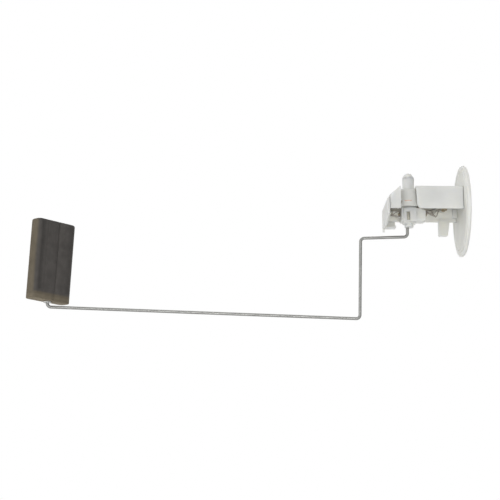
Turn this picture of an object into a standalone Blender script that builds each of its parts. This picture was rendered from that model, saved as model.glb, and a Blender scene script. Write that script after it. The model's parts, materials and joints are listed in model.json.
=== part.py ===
"""Fuel level sender with a round flange, an open-bottomed housing, a swinging wire arm and a block float.

Metres, +Z up. The origin is the centre of the flange's outer face and +X points out of that face.
The housing and its arm lie towards -X. The arm turns about an upright axis through the housing's sleeve.
"""

import math

import bmesh
import bpy
from mathutils import Matrix, Vector

# General sizes
WALL = 0.0016
CLEARANCE = 0.0003
SLENDER_STEPS = 24
ROUND_STEPS = 40

# Flange
FLANGE_DIAMETER = 0.060
FLANGE_THICKNESS = 0.0024
FLANGE_STEPS = 72
RIM_ROUND = 0.0008
RIM_BAND = 0.0030
RECESS_WIDTH = 0.0020
RECESS_DEPTH = 0.0004
SEAL_RIB_WIDTH = 0.0012
SEAL_RIB_HEIGHT = 0.0005
SPIGOT_DEPTH = 0.0030

# Housing
HOUSING_WIDTH = 0.0310
HOUSING_TOP = 0.0138
HOUSING_ROUND = 0.0022
TOP_LENGTH = 0.0406
SLOPE_RUN = 0.0070
SLOPE_DROP = 0.0061
APRON_BOTTOM = -0.0015
REAR_BOTTOM = -0.0041
REAR_TAB_CENTRE = 0.01125
REAR_TAB_WIDTH = 0.0074
REAR_TAB_TIP_WIDTH = 0.0062
REAR_TAB_THICKNESS = 0.0030
REAR_TAB_DROP = 0.0098
REAR_TAB_ROUND = 0.0007

# Bearing sleeve and the slot in front of it
PIVOT_SETBACK = 0.0363
SLEEVE_DIAMETER = 0.0078
SLEEVE_BOTTOM = 0.0070
SLEEVE_TOP = 0.0217
SKIRT_DIAMETER = 0.0112
SKIRT_TOP = 0.0120
SKIRT_EDGE = 0.0008
SLOT_LEFT = 0.0070
SLOT_RIGHT = 0.0029
SLOT_KNEE_RIGHT = 0.0036
SLOT_KNEE_HEIGHT = 0.0018
SLOT_FLARE_RIGHT = 0.0049
SLOT_REAR_GAP = 0.0010
CAP_HEIGHT = 0.0033
CAP_SKIRT = 0.0016

# Rotor
SPINDLE_DIAMETER = 0.0046
SPINDLE_CHAMFER = 0.0004
HUB_DIAMETER = 0.0108
WASHER_DIAMETER = 0.0098
WASHER_THICKNESS = 0.0010
ROTOR_TOP = 0.0012
ROTOR_BOTTOM = -0.0073
ROTOR_LEFT = 0.0055
ROTOR_RIGHT = 0.0103
ROTOR_SHOULDER = 0.0063
SHOULDER_DROP = 0.0017
ROTOR_DEPTH = 0.0110
ROTOR_ROUND = 0.0006
COLLAR_DIAMETER = 0.0088
COLLAR_HEIGHT = 0.0016
NOSE_DIAMETER = 0.0058
NOSE_HEIGHT = 0.0024
NOSE_CHAMFER = 0.0004
CLAMP_THICKNESS = 0.0014
CLAMP_WIDTH = 0.0080
CLAMP_OVERHANG = 0.0011
CLAMP_ROUND = 0.0004
WINDOW_WIDTH = 0.0021
WINDOW_HEIGHT = 0.0056
WINDOW_SILL = 0.0008
WINDOW_SETOVER = 0.0012

# Resistor card
CARD_THICKNESS = 0.0008
CARD_UNDERSIDE = 0.0030
CARD_LEFT_MARGIN = 0.0012
CARD_RIGHT = 0.0114
POST_DIAMETER = 0.0032
STAKE_DIAMETER = 0.0014
STAKE_HEAD_DIAMETER = 0.0026
STAKE_HEAD_HEIGHT = 0.0006
POST_INSET = 0.0018

# Contact springs
LEAF_THICKNESS = 0.0004
LEAF_WIDTH = 0.0030
LEAF_CROOK = 0.0006
LEAF_LIFT = 0.0002
LEAF_TOE = 0.0008
FINGER_GAP = 0.0006
FINGER_ROOT = 0.0016
WIPER_RADIUS = 0.0206
WIPER_SAG_RADIUS = 0.0178
WIPER_SAG = 0.0058
WIPER_SAG_CROOK = 0.0011
GROUND_RADIUS = 0.0084
GROUND_FOLD_RADIUS = 0.0117
GROUND_FOLD_RISE = 0.0010
BUTTON_DIAMETER = 0.0012
BUTTON_HEIGHT = 0.0005
SPRING_TAB_HEIGHT = 0.0032
SPRING_RIVET_HEIGHT = -0.0024
RIVET_DIAMETER = 0.0014
RIVET_HEAD_DIAMETER = 0.0024
RIVET_HEAD_HEIGHT = 0.0005
RIVET_SHANK = 0.0020
RIVET_SOCKET_DEPTH = 0.0024

# Terminals and their socket
TERMINAL_PITCH = 0.0060
TERMINAL_WIDTH = 0.0022
TERMINAL_THICKNESS = 0.0008
PIN_HEIGHT = 0.0083
PIN_LENGTH = 0.0024
SOCKET_DEPTH = 0.0070
SOCKET_FLOOR = 0.0024
SOCKET_OPENING = 0.0052
SOCKET_WALL = 0.0010
SOCKET_END_ROOM = 0.0024
TERMINAL_LEG_SETBACK = 0.0106
TERMINAL_OVERLAP = 0.0024

# End guard
GUARD_THICKNESS = 0.0014
GUARD_FRONT_TOP = 0.0052
GUARD_REAR_TOP = 0.0036
GUARD_FRONT_BOTTOM = -0.0050
GUARD_BOTTOM = -0.0090
GUARD_FOOT_THICKNESS = 0.0013
GUARD_FOOT_REACH = 0.0070
GUARD_FOOT_WIDTH = 0.0060
GUARD_TAIL_DROP = 0.0024
GUARD_TAIL_WIDTH = 0.0018
GUARD_TONGUE_WIDTH = 0.0100
GUARD_TONGUE_THICKNESS = 0.0014
GUARD_TONGUE_REACH = 0.0040

# Wire arm
WIRE_DIAMETER = 0.0020
WIRE_SIDES = 12
WIRE_SETOVER = 0.0012
BEND_RADIUS = 0.0025
BEND_STEPS = 7
WIRE_SEAT_DEPTH = 0.0076
WIRE_NECK = 0.0061
SHORT_REACH = 0.03075
SHORT_SINK = 0.00115
ARM_DROP = 0.0532
DROP_SET = 0.0012
LONG_REACH = 0.20145
LONG_RISE = 0.0065
ROD_LEAN = math.radians(3.0)

# Float
FLOAT_WIDTH = 0.0302
FLOAT_DEPTH = 0.0100
FLOAT_LENGTH = 0.0521
FLOAT_ROUND = 0.0026
FLOAT_TURN = math.radians(42.0)
FLOAT_LINE_PLACE = 0.0014
FLOAT_LINE_WIDTH = 0.0010
FLOAT_LINE_DEPTH = 0.0004
FLOAT_FAINT_LINE_PLACE = -0.0076
FLOAT_RECESS_DIAMETER = 0.0072
FLOAT_RECESS_DEPTH = 0.0022
BUSH_DIAMETER = 0.0040
BUSH_LENGTH = 0.0060
BUSH_LIP_DIAMETER = 0.0052
BUSH_LIP_HEIGHT = 0.0006
CAP_NUT_DIAMETER = 0.0056
CAP_NUT_HEIGHT = 0.0007
CAP_NUT_CHAMFER = 0.0002
ROD_TIP = 0.0014

# Worked out places
HALF_WIDTH = HOUSING_WIDTH / 2
FLANGE_INNER = -FLANGE_THICKNESS
HOUSING_RIGHT = FLANGE_INNER - CLEARANCE
HOUSING_LEFT = HOUSING_RIGHT - TOP_LENGTH - SLOPE_RUN
INNER_HALF = HALF_WIDTH - WALL
ROOF_UNDERSIDE = HOUSING_TOP - WALL
PIVOT = Vector((-PIVOT_SETBACK, 0, 0))
CARD_TOP = CARD_UNDERSIDE + CARD_THICKNESS
CARD_LEFT = HOUSING_LEFT + CLEARANCE + CARD_LEFT_MARGIN
SLEEVE_RADIUS = SLEEVE_DIAMETER / 2
SLEEVE_BORE = SPINDLE_DIAMETER + 2 * CLEARANCE
HUB_TOP = SLEEVE_BOTTOM - 2 * CLEARANCE - WASHER_THICKNESS
WIRE_RADIUS = WIRE_DIAMETER / 2
WIRE_BORE = WIRE_DIAMETER + 2 * CLEARANCE
COLLAR_BOTTOM = ROTOR_BOTTOM - COLLAR_HEIGHT
NOSE_BOTTOM = COLLAR_BOTTOM - NOSE_HEIGHT
WIRE_TOP = ROTOR_BOTTOM + WIRE_SEAT_DEPTH
WIRE_TURN = NOSE_BOTTOM - WIRE_NECK


def clear_scene():
    for old in list(bpy.data.objects):
        bpy.data.objects.remove(old, do_unlink=True)


def material(name, colour, roughness, metallic=0.0):
    made = bpy.data.materials.new(name)
    made.use_nodes = True
    shader = made.node_tree.nodes["Principled BSDF"]
    shader.inputs["Base Color"].default_value = (*colour, 1.0)
    shader.inputs["Roughness"].default_value = roughness
    shader.inputs["Metallic"].default_value = metallic
    return made


def placed(name, work, finish, location=(0, 0, 0), sharp_angle=35):
    """Turns a bmesh into a smooth-shaded object at its location."""
    bmesh.ops.recalc_face_normals(work, faces=work.faces)
    mesh = bpy.data.meshes.new(name)
    work.to_mesh(mesh)
    work.free()
    mesh.shade_smooth()
    mesh.set_sharp_from_angle(angle=math.radians(sharp_angle))
    if finish:
        mesh.materials.append(finish)
    made = bpy.data.objects.new(name, mesh)
    made.location = location
    bpy.context.scene.collection.objects.link(made)
    return made


def helper(name, work, location=(0, 0, 0)):
    """A hidden solid that a Boolean modifier reads."""
    made = placed(name, work, None, location)
    made.hide_render = True
    made.display_type = "WIRE"
    return made


def combine(target, tool, operation):
    step = target.modifiers.new(operation.title() + " " + tool.name, "BOOLEAN")
    step.operation = operation
    step.solver = "EXACT"
    step.object = tool


def cut(target, tool):
    combine(target, tool, "DIFFERENCE")


def join(target, tool):
    combine(target, tool, "UNION")


def extruded(outline, low, high, along):
    """Sweeps an outline along Y (points are X, Z) or along Z (points are X, Y) or along X (points are Y, Z)."""
    places = {
        "X": lambda a, b, c: (c, a, b),
        "Y": lambda a, b, c: (a, c, b),
        "Z": lambda a, b, c: (a, b, c),
    }
    work = bmesh.new()
    first = [work.verts.new(places[along](a, b, low)) for a, b in outline]
    face = work.faces.new(first)
    swept = bmesh.ops.extrude_face_region(work, geom=[face])["geom"]
    moved = [item for item in swept if isinstance(item, bmesh.types.BMVert)]
    shift = Vector(places[along](0, 0, high - low))
    bmesh.ops.translate(work, verts=moved, vec=shift)
    return work


def rectangle(a_low, a_high, b_low, b_high):
    return [(a_low, b_low), (a_high, b_low), (a_high, b_high), (a_low, b_high)]


def block(x_range, y_range, z_range):
    return extruded(rectangle(*x_range, *y_range), z_range[0], z_range[1], "Z")


def rounded(work, radius, choose, segments=3):
    """Rounds the edges that the choose function accepts."""
    edges = [edge for edge in work.edges if choose(edge)]
    bmesh.ops.bevel(work, geom=edges, offset=radius, segments=segments, profile=0.5, affect="EDGES")
    return work


def runs_along(edge, axis):
    run = edge.verts[1].co - edge.verts[0].co
    others = [abs(run[other]) for other in range(3) if other != axis]
    return abs(run[axis]) > 100 * max(others + [1e-9])


def turned(profile, steps, hollow=False):
    """Revolves (radius, height) points about Z. A hollow profile is a closed loop clear of the axis."""
    work = bmesh.new()
    points = [work.verts.new((radius, 0, height)) for radius, height in profile]
    pairs = list(zip(points, points[1:]))
    if hollow:
        pairs.append((points[-1], points[0]))
    edges = [work.edges.new(pair) for pair in pairs]
    bmesh.ops.spin(
        work, geom=points + edges, cent=(0, 0, 0), axis=(0, 0, 1), angle=math.tau, steps=steps, use_merge=True
    )
    bmesh.ops.remove_doubles(work, verts=work.verts, dist=1e-6)
    return work


def rod(radius, low, high, steps=SLENDER_STEPS):
    return turned([(0, high), (radius, high), (radius, low), (0, low)], steps)


def lay_along_x(work):
    """Turns the work so that its height runs along +X."""
    work.transform(Matrix.Rotation(math.radians(90), 4, "Y"))
    return work


def strip(path, thickness):
    """Outline of a strip of even thickness whose middle follows the path."""
    middle = [Vector(point) for point in path]
    left = []
    right = []
    for index, point in enumerate(middle):
        before = middle[max(index - 1, 0)]
        after = middle[min(index + 1, len(middle) - 1)]
        into = (point - before).normalized() if index else (after - point).normalized()
        out_of = (after - point).normalized() if index < len(middle) - 1 else into
        mean = (into + out_of).normalized()
        side = Vector((-mean.y, mean.x))
        reach = thickness / 2 / max(side.dot(Vector((-into.y, into.x))), 0.3)
        left.append(point + side * reach)
        right.append(point - side * reach)
    return [tuple(point) for point in left + right[::-1]]


def arc(centre, radius, start, end, steps):
    """Points on an arc, with angles in degrees."""
    angles = [math.radians(start + (end - start) * step / steps) for step in range(steps + 1)]
    return [(centre[0] + radius * math.cos(a), centre[1] + radius * math.sin(a)) for a in angles]


def make_flange(finish):
    radius = FLANGE_DIAMETER / 2
    rim_inner = radius - RIM_BAND
    recess_inner = rim_inner - RECESS_WIDTH
    rib_outer = rim_inner
    rib_inner = rib_outer - SEAL_RIB_WIDTH
    inner_face = -FLANGE_THICKNESS
    profile = [
        (0, 0),
        (recess_inner, 0),
        (recess_inner + RECESS_DEPTH, -RECESS_DEPTH),
        (rim_inner - RECESS_DEPTH, -RECESS_DEPTH),
        (rim_inner, 0),
    ]
    profile += arc((radius - RIM_ROUND, -RIM_ROUND), RIM_ROUND, 90, 0, 3)
    profile += arc((radius - RIM_ROUND, inner_face + RIM_ROUND), RIM_ROUND, 0, -90, 3)
    profile += [
        (rib_outer, inner_face),
        (rib_outer - SEAL_RIB_WIDTH / 4, inner_face - SEAL_RIB_HEIGHT),
        (rib_inner + SEAL_RIB_WIDTH / 4, inner_face - SEAL_RIB_HEIGHT),
        (rib_inner, inner_face),
        (0, inner_face),
    ]
    disc = placed("flange_disc", lay_along_x(turned(profile, FLANGE_STEPS)), finish)
    fit = INNER_HALF - CLEARANCE
    roof_fit = ROOF_UNDERSIDE - CLEARANCE
    spigot = extruded(
        [
            (-fit, APRON_BOTTOM),
            (-fit, roof_fit),
            (fit, roof_fit),
            (fit, APRON_BOTTOM),
            (fit - WALL, APRON_BOTTOM),
            (fit - WALL, roof_fit - WALL),
            (WALL - fit, roof_fit - WALL),
            (WALL - fit, APRON_BOTTOM),
        ],
        inner_face - SPIGOT_DEPTH,
        inner_face + WALL / 2,
        "X",
    )
    join(disc, helper("spigot", spigot))
    return disc


def socket_ranges():
    half = TERMINAL_PITCH + TERMINAL_WIDTH / 2 + SOCKET_END_ROOM
    low = PIN_HEIGHT - SOCKET_OPENING / 2
    return half, low, low + SOCKET_OPENING


def make_terminal_block(finish, disc):
    """The socket shell that passes through the flange and holds the three terminals."""
    half, low, high = socket_ranges()
    outer = half + SOCKET_WALL
    back = -SOCKET_DEPTH - SOCKET_FLOOR
    shell = block((back, -CLEARANCE), (-outer, outer), (low - SOCKET_WALL, high + SOCKET_WALL))
    rounded(shell, SOCKET_WALL / 2, lambda edge: runs_along(edge, 0), 2)
    socket = placed("terminal_block", shell, finish)
    well = block((-SOCKET_DEPTH, WALL), (-half, half), (low, high))
    cut(socket, helper("socket_well", well))
    for number, y in terminal_rows():
        passage = block(
            (back - WALL, -SOCKET_DEPTH + WALL),
            (y - TERMINAL_WIDTH / 2 - CLEARANCE, y + TERMINAL_WIDTH / 2 + CLEARANCE),
            (PIN_HEIGHT - TERMINAL_THICKNESS / 2 - CLEARANCE, PIN_HEIGHT + TERMINAL_THICKNESS / 2 + CLEARANCE),
        )
        cut(socket, helper(f"terminal_passage_{number}", passage))
    gap = SOCKET_WALL + CLEARANCE
    window = block((-FLANGE_THICKNESS - SPIGOT_DEPTH, WALL), (-half - gap, half + gap), (low - gap, high + gap))
    cut(disc, helper("socket_window", window))
    return socket


def terminal_rows():
    return [(number, (number - 2) * TERMINAL_PITCH) for number in (1, 2, 3)]


def make_terminals(finish):
    """Stepped strips: a pin in the socket, a leg down behind it and a foot under the card."""
    foot = CARD_UNDERSIDE - CLEARANCE - TERMINAL_THICKNESS / 2
    path = [
        (-SOCKET_DEPTH + PIN_LENGTH, PIN_HEIGHT),
        (-TERMINAL_LEG_SETBACK, PIN_HEIGHT),
        (-TERMINAL_LEG_SETBACK, foot),
        (-CARD_RIGHT - TERMINAL_OVERLAP, foot),
    ]
    half = TERMINAL_WIDTH / 2
    for number, y in terminal_rows():
        work = extruded(strip(path, TERMINAL_THICKNESS), y - half, y + half, "Y")
        terminal = placed(f"terminal_{number}", work, finish)
        hole = rod(RIVET_DIAMETER / 2 + CLEARANCE, foot - WALL, foot + WALL, 16)
        cut(terminal, helper(f"terminal_hole_{number}", hole, (rivet_x(), y, 0)))


def rivet_x():
    return -CARD_RIGHT - TERMINAL_OVERLAP / 2


def make_card(finish):
    edge = INNER_HALF - CLEARANCE
    plate = block((CARD_LEFT, -CARD_RIGHT), (-edge, edge), (CARD_UNDERSIDE, CARD_TOP))
    card = placed("resistor_card", plate, finish)
    hole_radius = HUB_DIAMETER / 2 + 2 * CLEARANCE
    hub_hole = rod(hole_radius, CARD_UNDERSIDE - WALL, CARD_TOP + WALL, ROUND_STEPS)
    cut(card, helper("hub_hole", hub_hole, PIVOT))
    hub_way = block((-hole_radius, hole_radius), (-HALF_WIDTH, 0), (CARD_UNDERSIDE - WALL, CARD_TOP + WALL))
    cut(card, helper("hub_way", hub_way, PIVOT))
    for number, (x, y) in enumerate(post_places(), 1):
        hole = rod(STAKE_DIAMETER / 2 + CLEARANCE, CARD_UNDERSIDE - WALL, CARD_TOP + WALL, 16)
        cut(card, helper(f"stake_hole_{number}", hole, (x, y, 0)))
    for number, y in terminal_rows():
        hole = rod(RIVET_DIAMETER / 2 + CLEARANCE, CARD_UNDERSIDE - WALL, CARD_TOP + WALL, 16)
        cut(card, helper(f"card_rivet_hole_{number}", hole, (rivet_x(), y, 0)))
    return card


def post_places():
    inset = POST_INSET
    side = INNER_HALF - CLEARANCE - inset
    left = CARD_LEFT + inset
    right = -CARD_RIGHT - inset
    return [(left, side), (left, -side), (right, side), (right, -side)]


def make_card_rivets(finish):
    """Rivets that clamp each terminal's foot to the card."""
    radius = RIVET_DIAMETER / 2
    head = RIVET_HEAD_DIAMETER / 2
    top = CARD_TOP + CLEARANCE
    bottom = CARD_UNDERSIDE - 2 * CLEARANCE - TERMINAL_THICKNESS
    profile = [
        (0, top + RIVET_HEAD_HEIGHT),
        (head * 0.7, top + RIVET_HEAD_HEIGHT),
        (head, top),
        (radius, top),
        (radius, bottom),
        (head, bottom),
        (head * 0.7, bottom - RIVET_HEAD_HEIGHT),
        (0, bottom - RIVET_HEAD_HEIGHT),
    ]
    for number, y in terminal_rows():
        placed(f"card_rivet_{number}", turned(profile, 16), finish, (rivet_x(), y, 0))


def housing_outline(inset, right):
    """The tray's side view: a level roof that slopes down at its free end."""
    slope = math.atan2(SLOPE_DROP, SLOPE_RUN)
    top = HOUSING_TOP - inset
    corner = HOUSING_RIGHT - TOP_LENGTH + inset * math.tan(slope / 2)
    left = HOUSING_LEFT
    left_top = HOUSING_TOP - SLOPE_DROP - inset / math.cos(slope)
    bottom = REAR_BOTTOM - inset
    return [(right, top), (corner, top), (left - inset, left_top), (left - inset, bottom), (right, bottom)]


def make_housing(finish):
    """An open-bottomed tray with a bearing sleeve, card posts, an apron in front and a longer rear wall."""
    shell = extruded(housing_outline(0, HOUSING_RIGHT), -HALF_WIDTH, HALF_WIDTH, "Y")
    rounded(shell, HOUSING_ROUND, is_long_top_edge)
    body = placed("housing", shell, finish)
    hollow = extruded(housing_outline(WALL, HOUSING_RIGHT + WALL), -INNER_HALF, INNER_HALF, "Y")
    cut(body, helper("housing_hollow", hollow))

    below = REAR_BOTTOM - WALL
    front = -HALF_WIDTH - WALL
    under_apron = block(
        (HOUSING_LEFT - WALL, HOUSING_RIGHT + WALL), (front, -INNER_HALF + WALL / 2), (below, APRON_BOTTOM)
    )
    cut(body, helper("apron_trim", under_apron))

    slot = [
        (-SLOT_LEFT, HOUSING_TOP + WALL),
        (-SLOT_LEFT, below),
        (SLOT_FLARE_RIGHT, below),
        (SLOT_FLARE_RIGHT, APRON_BOTTOM),
        (SLOT_KNEE_RIGHT, SLOT_KNEE_HEIGHT),
        (SLOT_RIGHT, HOUSING_TOP + WALL),
    ]
    cut(body, helper("sleeve_slot", extruded(slot, front, -SLEEVE_RADIUS - SLOT_REAR_GAP, "Y"), PIVOT))

    sleeve = turned(
        [
            (SLEEVE_RADIUS, SLEEVE_TOP),
            (SLEEVE_RADIUS, SKIRT_TOP),
            (SKIRT_DIAMETER / 2, SLEEVE_BOTTOM + SKIRT_EDGE),
            (SKIRT_DIAMETER / 2, SLEEVE_BOTTOM),
            (SLEEVE_BORE / 2, SLEEVE_BOTTOM),
            (SLEEVE_BORE / 2, SLEEVE_TOP),
        ],
        ROUND_STEPS,
        hollow=True,
    )
    bore = rod(SLEEVE_BORE / 2 + WALL / 2, ROOF_UNDERSIDE - WALL, HOUSING_TOP + WALL)
    cut(body, helper("sleeve_passage", bore, PIVOT))
    join(body, helper("sleeve", sleeve, PIVOT))

    for number, (x, y) in enumerate(post_places(), 1):
        join(body, helper(f"card_post_{number}", card_post(x), (x, y, 0)))
    join(body, helper("rear_tab", rear_tab()))
    return body


def is_long_top_edge(edge):
    """The two long upper edges of the tray, level and sloping."""
    low, high = sorted(edge.verts, key=lambda vert: vert.co.z)
    along_side = abs(low.co.y - high.co.y) < 1e-6
    above = low.co.z > HOUSING_TOP - SLOPE_DROP - WALL / 4
    return along_side and above and abs(low.co.x - high.co.x) > WALL


def roof_height(x):
    """Underside of the roof above a place along the housing."""
    past = max(HOUSING_RIGHT - TOP_LENGTH - x, 0)
    return ROOF_UNDERSIDE - past * SLOPE_DROP / SLOPE_RUN


def card_post(x):
    """A post under the roof whose staked pin passes through the card."""
    post = POST_DIAMETER / 2
    pin = STAKE_DIAMETER / 2
    head = STAKE_HEAD_DIAMETER / 2
    seat = CARD_TOP + CLEARANCE
    under = CARD_UNDERSIDE - CLEARANCE
    top = roof_height(x) + WALL / 4
    return turned(
        [
            (0, top),
            (post, top),
            (post, seat),
            (pin, seat),
            (pin, under),
            (head, under),
            (head * 0.6, under - STAKE_HEAD_HEIGHT),
            (0, under - STAKE_HEAD_HEIGHT),
        ],
        16,
    )


def rear_tab():
    """The tapered latch tab that hangs from the rear wall close to the flange."""
    half = REAR_TAB_WIDTH / 2
    tip = REAR_TAB_TIP_WIDTH / 2
    centre = -REAR_TAB_CENTRE
    bottom = REAR_BOTTOM - REAR_TAB_DROP
    left = centre - half
    outline = [
        (left, REAR_BOTTOM + WALL),
        (left, bottom + REAR_TAB_ROUND),
        (left + REAR_TAB_ROUND, bottom),
        (left + 2 * tip - REAR_TAB_ROUND, bottom),
        (left + 2 * tip, bottom + REAR_TAB_ROUND),
        (centre + half, REAR_BOTTOM),
        (centre + half, REAR_BOTTOM + WALL),
    ]
    back = HALF_WIDTH - CLEARANCE
    return extruded(outline, back - REAR_TAB_THICKNESS, back, "Y")


def make_spindle_cap(finish):
    """A domed cap that closes the sleeve."""
    radius = SLEEVE_RADIUS
    lip = SLEEVE_TOP + CLEARANCE
    plug = SLEEVE_BORE / 2 - CLEARANCE
    profile = [
        (0, lip + CAP_HEIGHT),
        (radius * 0.33, lip + CAP_HEIGHT * 0.95),
        (radius * 0.60, lip + CAP_HEIGHT * 0.76),
        (radius * 0.83, lip + CAP_HEIGHT * 0.44),
        (radius * 0.97, lip + CAP_HEIGHT * 0.12),
        (radius, lip),
        (plug, lip),
        (plug, lip - CAP_SKIRT),
        (0, lip - CAP_SKIRT),
    ]
    return placed("spindle_cap", turned(profile, ROUND_STEPS), finish, PIVOT)


def rotor_outline():
    return [
        (-ROTOR_LEFT, ROTOR_TOP),
        (-ROTOR_LEFT, ROTOR_BOTTOM),
        (ROTOR_RIGHT, ROTOR_BOTTOM),
        (ROTOR_RIGHT, ROTOR_TOP - SHOULDER_DROP),
        (ROTOR_SHOULDER, ROTOR_TOP),
    ]


def make_rotor(finish):
    """The arm holder: a shouldered block with a spindle above and a stepped nose below."""
    half = ROTOR_DEPTH / 2
    work = extruded(rotor_outline(), -half, half, "Y")
    rounded(work, ROTOR_ROUND, lambda edge: not runs_along(edge, 2), 2)
    rotor = placed("rotor", work, finish, PIVOT)
    spindle = SPINDLE_DIAMETER / 2
    hub = HUB_DIAMETER / 2
    spindle_top = SLEEVE_TOP - CAP_SKIRT - 2 * CLEARANCE
    stem = turned(
        [
            (0, spindle_top),
            (spindle - SPINDLE_CHAMFER, spindle_top),
            (spindle, spindle_top - SPINDLE_CHAMFER),
            (spindle, HUB_TOP),
            (hub, HUB_TOP),
            (hub, ROTOR_TOP - WALL),
            (0, ROTOR_TOP - WALL),
        ],
        ROUND_STEPS,
    )
    join(rotor, helper("rotor_stem", stem, PIVOT))
    collar = COLLAR_DIAMETER / 2
    nose = NOSE_DIAMETER / 2
    foot = turned(
        [
            (0, ROTOR_BOTTOM + WALL),
            (collar, ROTOR_BOTTOM + WALL),
            (collar, COLLAR_BOTTOM),
            (nose, COLLAR_BOTTOM),
            (nose, NOSE_BOTTOM + NOSE_CHAMFER),
            (nose - NOSE_CHAMFER, NOSE_BOTTOM),
            (0, NOSE_BOTTOM),
        ],
        ROUND_STEPS,
    )
    join(rotor, helper("rotor_nose", foot, PIVOT))
    groove_top = WIRE_TOP + CLEARANCE
    groove = block(
        (-WIRE_BORE / 2, WIRE_BORE / 2),
        (-half - WALL, 0),
        (ROTOR_BOTTOM + WALL, groove_top),
    )
    wire_axis = PIVOT + arm_corners()[0].xy.to_3d()
    cut(rotor, helper("wire_groove", groove, wire_axis))
    bore = rod(WIRE_BORE / 2, NOSE_BOTTOM - WALL, groove_top, 16)
    cut(rotor, helper("wire_bore", bore, wire_axis))
    for side, x in (("left", -ROTOR_LEFT), ("right", ROTOR_RIGHT)):
        socket = lay_along_x(rod(RIVET_DIAMETER / 2 + CLEARANCE, -RIVET_SOCKET_DEPTH, RIVET_SOCKET_DEPTH, 16))
        cut(rotor, helper(f"{side}_rivet_socket", socket, PIVOT + Vector((x, 0, SPRING_RIVET_HEIGHT))))
    return rotor


def make_thrust_washer(finish):
    bottom = HUB_TOP + CLEARANCE
    outer = WASHER_DIAMETER / 2
    inner = SPINDLE_DIAMETER / 2 + CLEARANCE
    top = bottom + WASHER_THICKNESS
    ring = turned([(outer, top), (outer, bottom), (inner, bottom), (inner, top)], ROUND_STEPS, hollow=True)
    return placed("thrust_washer", ring, finish, PIVOT)


def make_wire_clamp(finish):
    """The snap-on plate that shuts the wire in the rotor's groove, with a sight window."""
    front = -ROTOR_DEPTH / 2 - CLEARANCE
    half = CLAMP_WIDTH / 2
    low = ROTOR_BOTTOM - CLAMP_OVERHANG
    high = ROTOR_TOP - CLAMP_ROUND
    plate = block((-half, half), (front - CLAMP_THICKNESS, front), (low, high))
    rounded(plate, CLAMP_ROUND, lambda edge: runs_along(edge, 1), 2)
    clamp = placed("wire_clamp", plate, finish, PIVOT)
    window = block(
        (-WINDOW_SETOVER - WINDOW_WIDTH / 2, -WINDOW_SETOVER + WINDOW_WIDTH / 2),
        (front - 2 * CLAMP_THICKNESS, front + CLAMP_THICKNESS),
        (low + WINDOW_SILL, low + WINDOW_SILL + WINDOW_HEIGHT),
    )
    cut(clamp, helper("clamp_window", window, PIVOT))
    return clamp


def make_springs(finish):
    """Two leaf contacts on the rotor that press up against the card."""
    tip = CARD_UNDERSIDE - CLEARANCE - BUTTON_HEIGHT - LEAF_THICKNESS / 2
    tab_top = SPRING_RIVET_HEIGHT + SPRING_TAB_HEIGHT / 2
    tab_low = SPRING_RIVET_HEIGHT - SPRING_TAB_HEIGHT / 2
    root = ROTOR_RIGHT + CLEARANCE + LEAF_THICKNESS / 2
    sag = tip - WIPER_SAG
    path = [
        (root, tab_low),
        (root, tab_top),
        (root + LEAF_CROOK, tab_top + LEAF_LIFT),
        (WIPER_SAG_RADIUS - WIPER_SAG_CROOK, sag + LEAF_CROOK),
        (WIPER_SAG_RADIUS, sag),
        (WIPER_SAG_RADIUS + WIPER_SAG_CROOK / 2, sag + LEAF_CROOK),
        (WIPER_RADIUS - LEAF_CROOK, tip - LEAF_LIFT),
        (WIPER_RADIUS, tip),
        (WIPER_RADIUS + LEAF_TOE, tip - LEAF_LIFT),
    ]
    half = LEAF_WIDTH / 2
    wiper = placed("wiper_spring", extruded(strip(path, LEAF_THICKNESS), -half, half, "Y"), finish, PIVOT)
    split = block(
        (root + FINGER_ROOT, WIPER_RADIUS + WALL), (-FINGER_GAP / 2, FINGER_GAP / 2), (sag - WALL, tip + WALL)
    )
    cut(wiper, helper("finger_split", split, PIVOT))

    base = -ROTOR_LEFT - CLEARANCE - LEAF_THICKNESS / 2
    fold = -GROUND_FOLD_RADIUS + LEAF_CROOK
    fold_low = tab_low + GROUND_FOLD_RISE
    path = [(base, tab_top), (base, tab_low + LEAF_CROOK), (base - LEAF_CROOK, tab_low + LEAF_LIFT)]
    path += [(fold, fold_low)]
    path += arc((fold, fold_low + LEAF_CROOK), LEAF_CROOK, 250, 130, 4)
    path += [
        (-GROUND_RADIUS - LEAF_CROOK, tip - LEAF_LIFT),
        (-GROUND_RADIUS, tip),
        (-GROUND_RADIUS + LEAF_TOE, tip - LEAF_LIFT),
    ]
    ground = placed("ground_spring", extruded(strip(path, LEAF_THICKNESS), -half, half, "Y"), finish, PIVOT)

    for side, spring, x in (("wiper", wiper, root), ("ground", ground, base)):
        hole = lay_along_x(rod(RIVET_DIAMETER / 2 + CLEARANCE, -WALL / 2, WALL / 2, 16))
        cut(spring, helper(f"{side}_spring_hole", hole, PIVOT + Vector((x, 0, SPRING_RIVET_HEIGHT))))


def make_spring_rivets(finish):
    radius = RIVET_DIAMETER / 2
    head = RIVET_HEAD_DIAMETER / 2
    seat = LEAF_THICKNESS + 2 * CLEARANCE
    profile = [
        (0, seat + RIVET_HEAD_HEIGHT),
        (head * 0.7, seat + RIVET_HEAD_HEIGHT),
        (head, seat),
        (radius, seat),
        (radius, -RIVET_SHANK),
        (0, -RIVET_SHANK),
    ]
    for name, x, turn in (("wiper_rivet", ROTOR_RIGHT, 0), ("ground_rivet", -ROTOR_LEFT, 180)):
        work = lay_along_x(turned(profile, 16))
        work.transform(Matrix.Rotation(math.radians(turn), 4, "Z"))
        placed(name, work, finish, PIVOT + Vector((x, 0, SPRING_RIVET_HEIGHT)))


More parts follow.
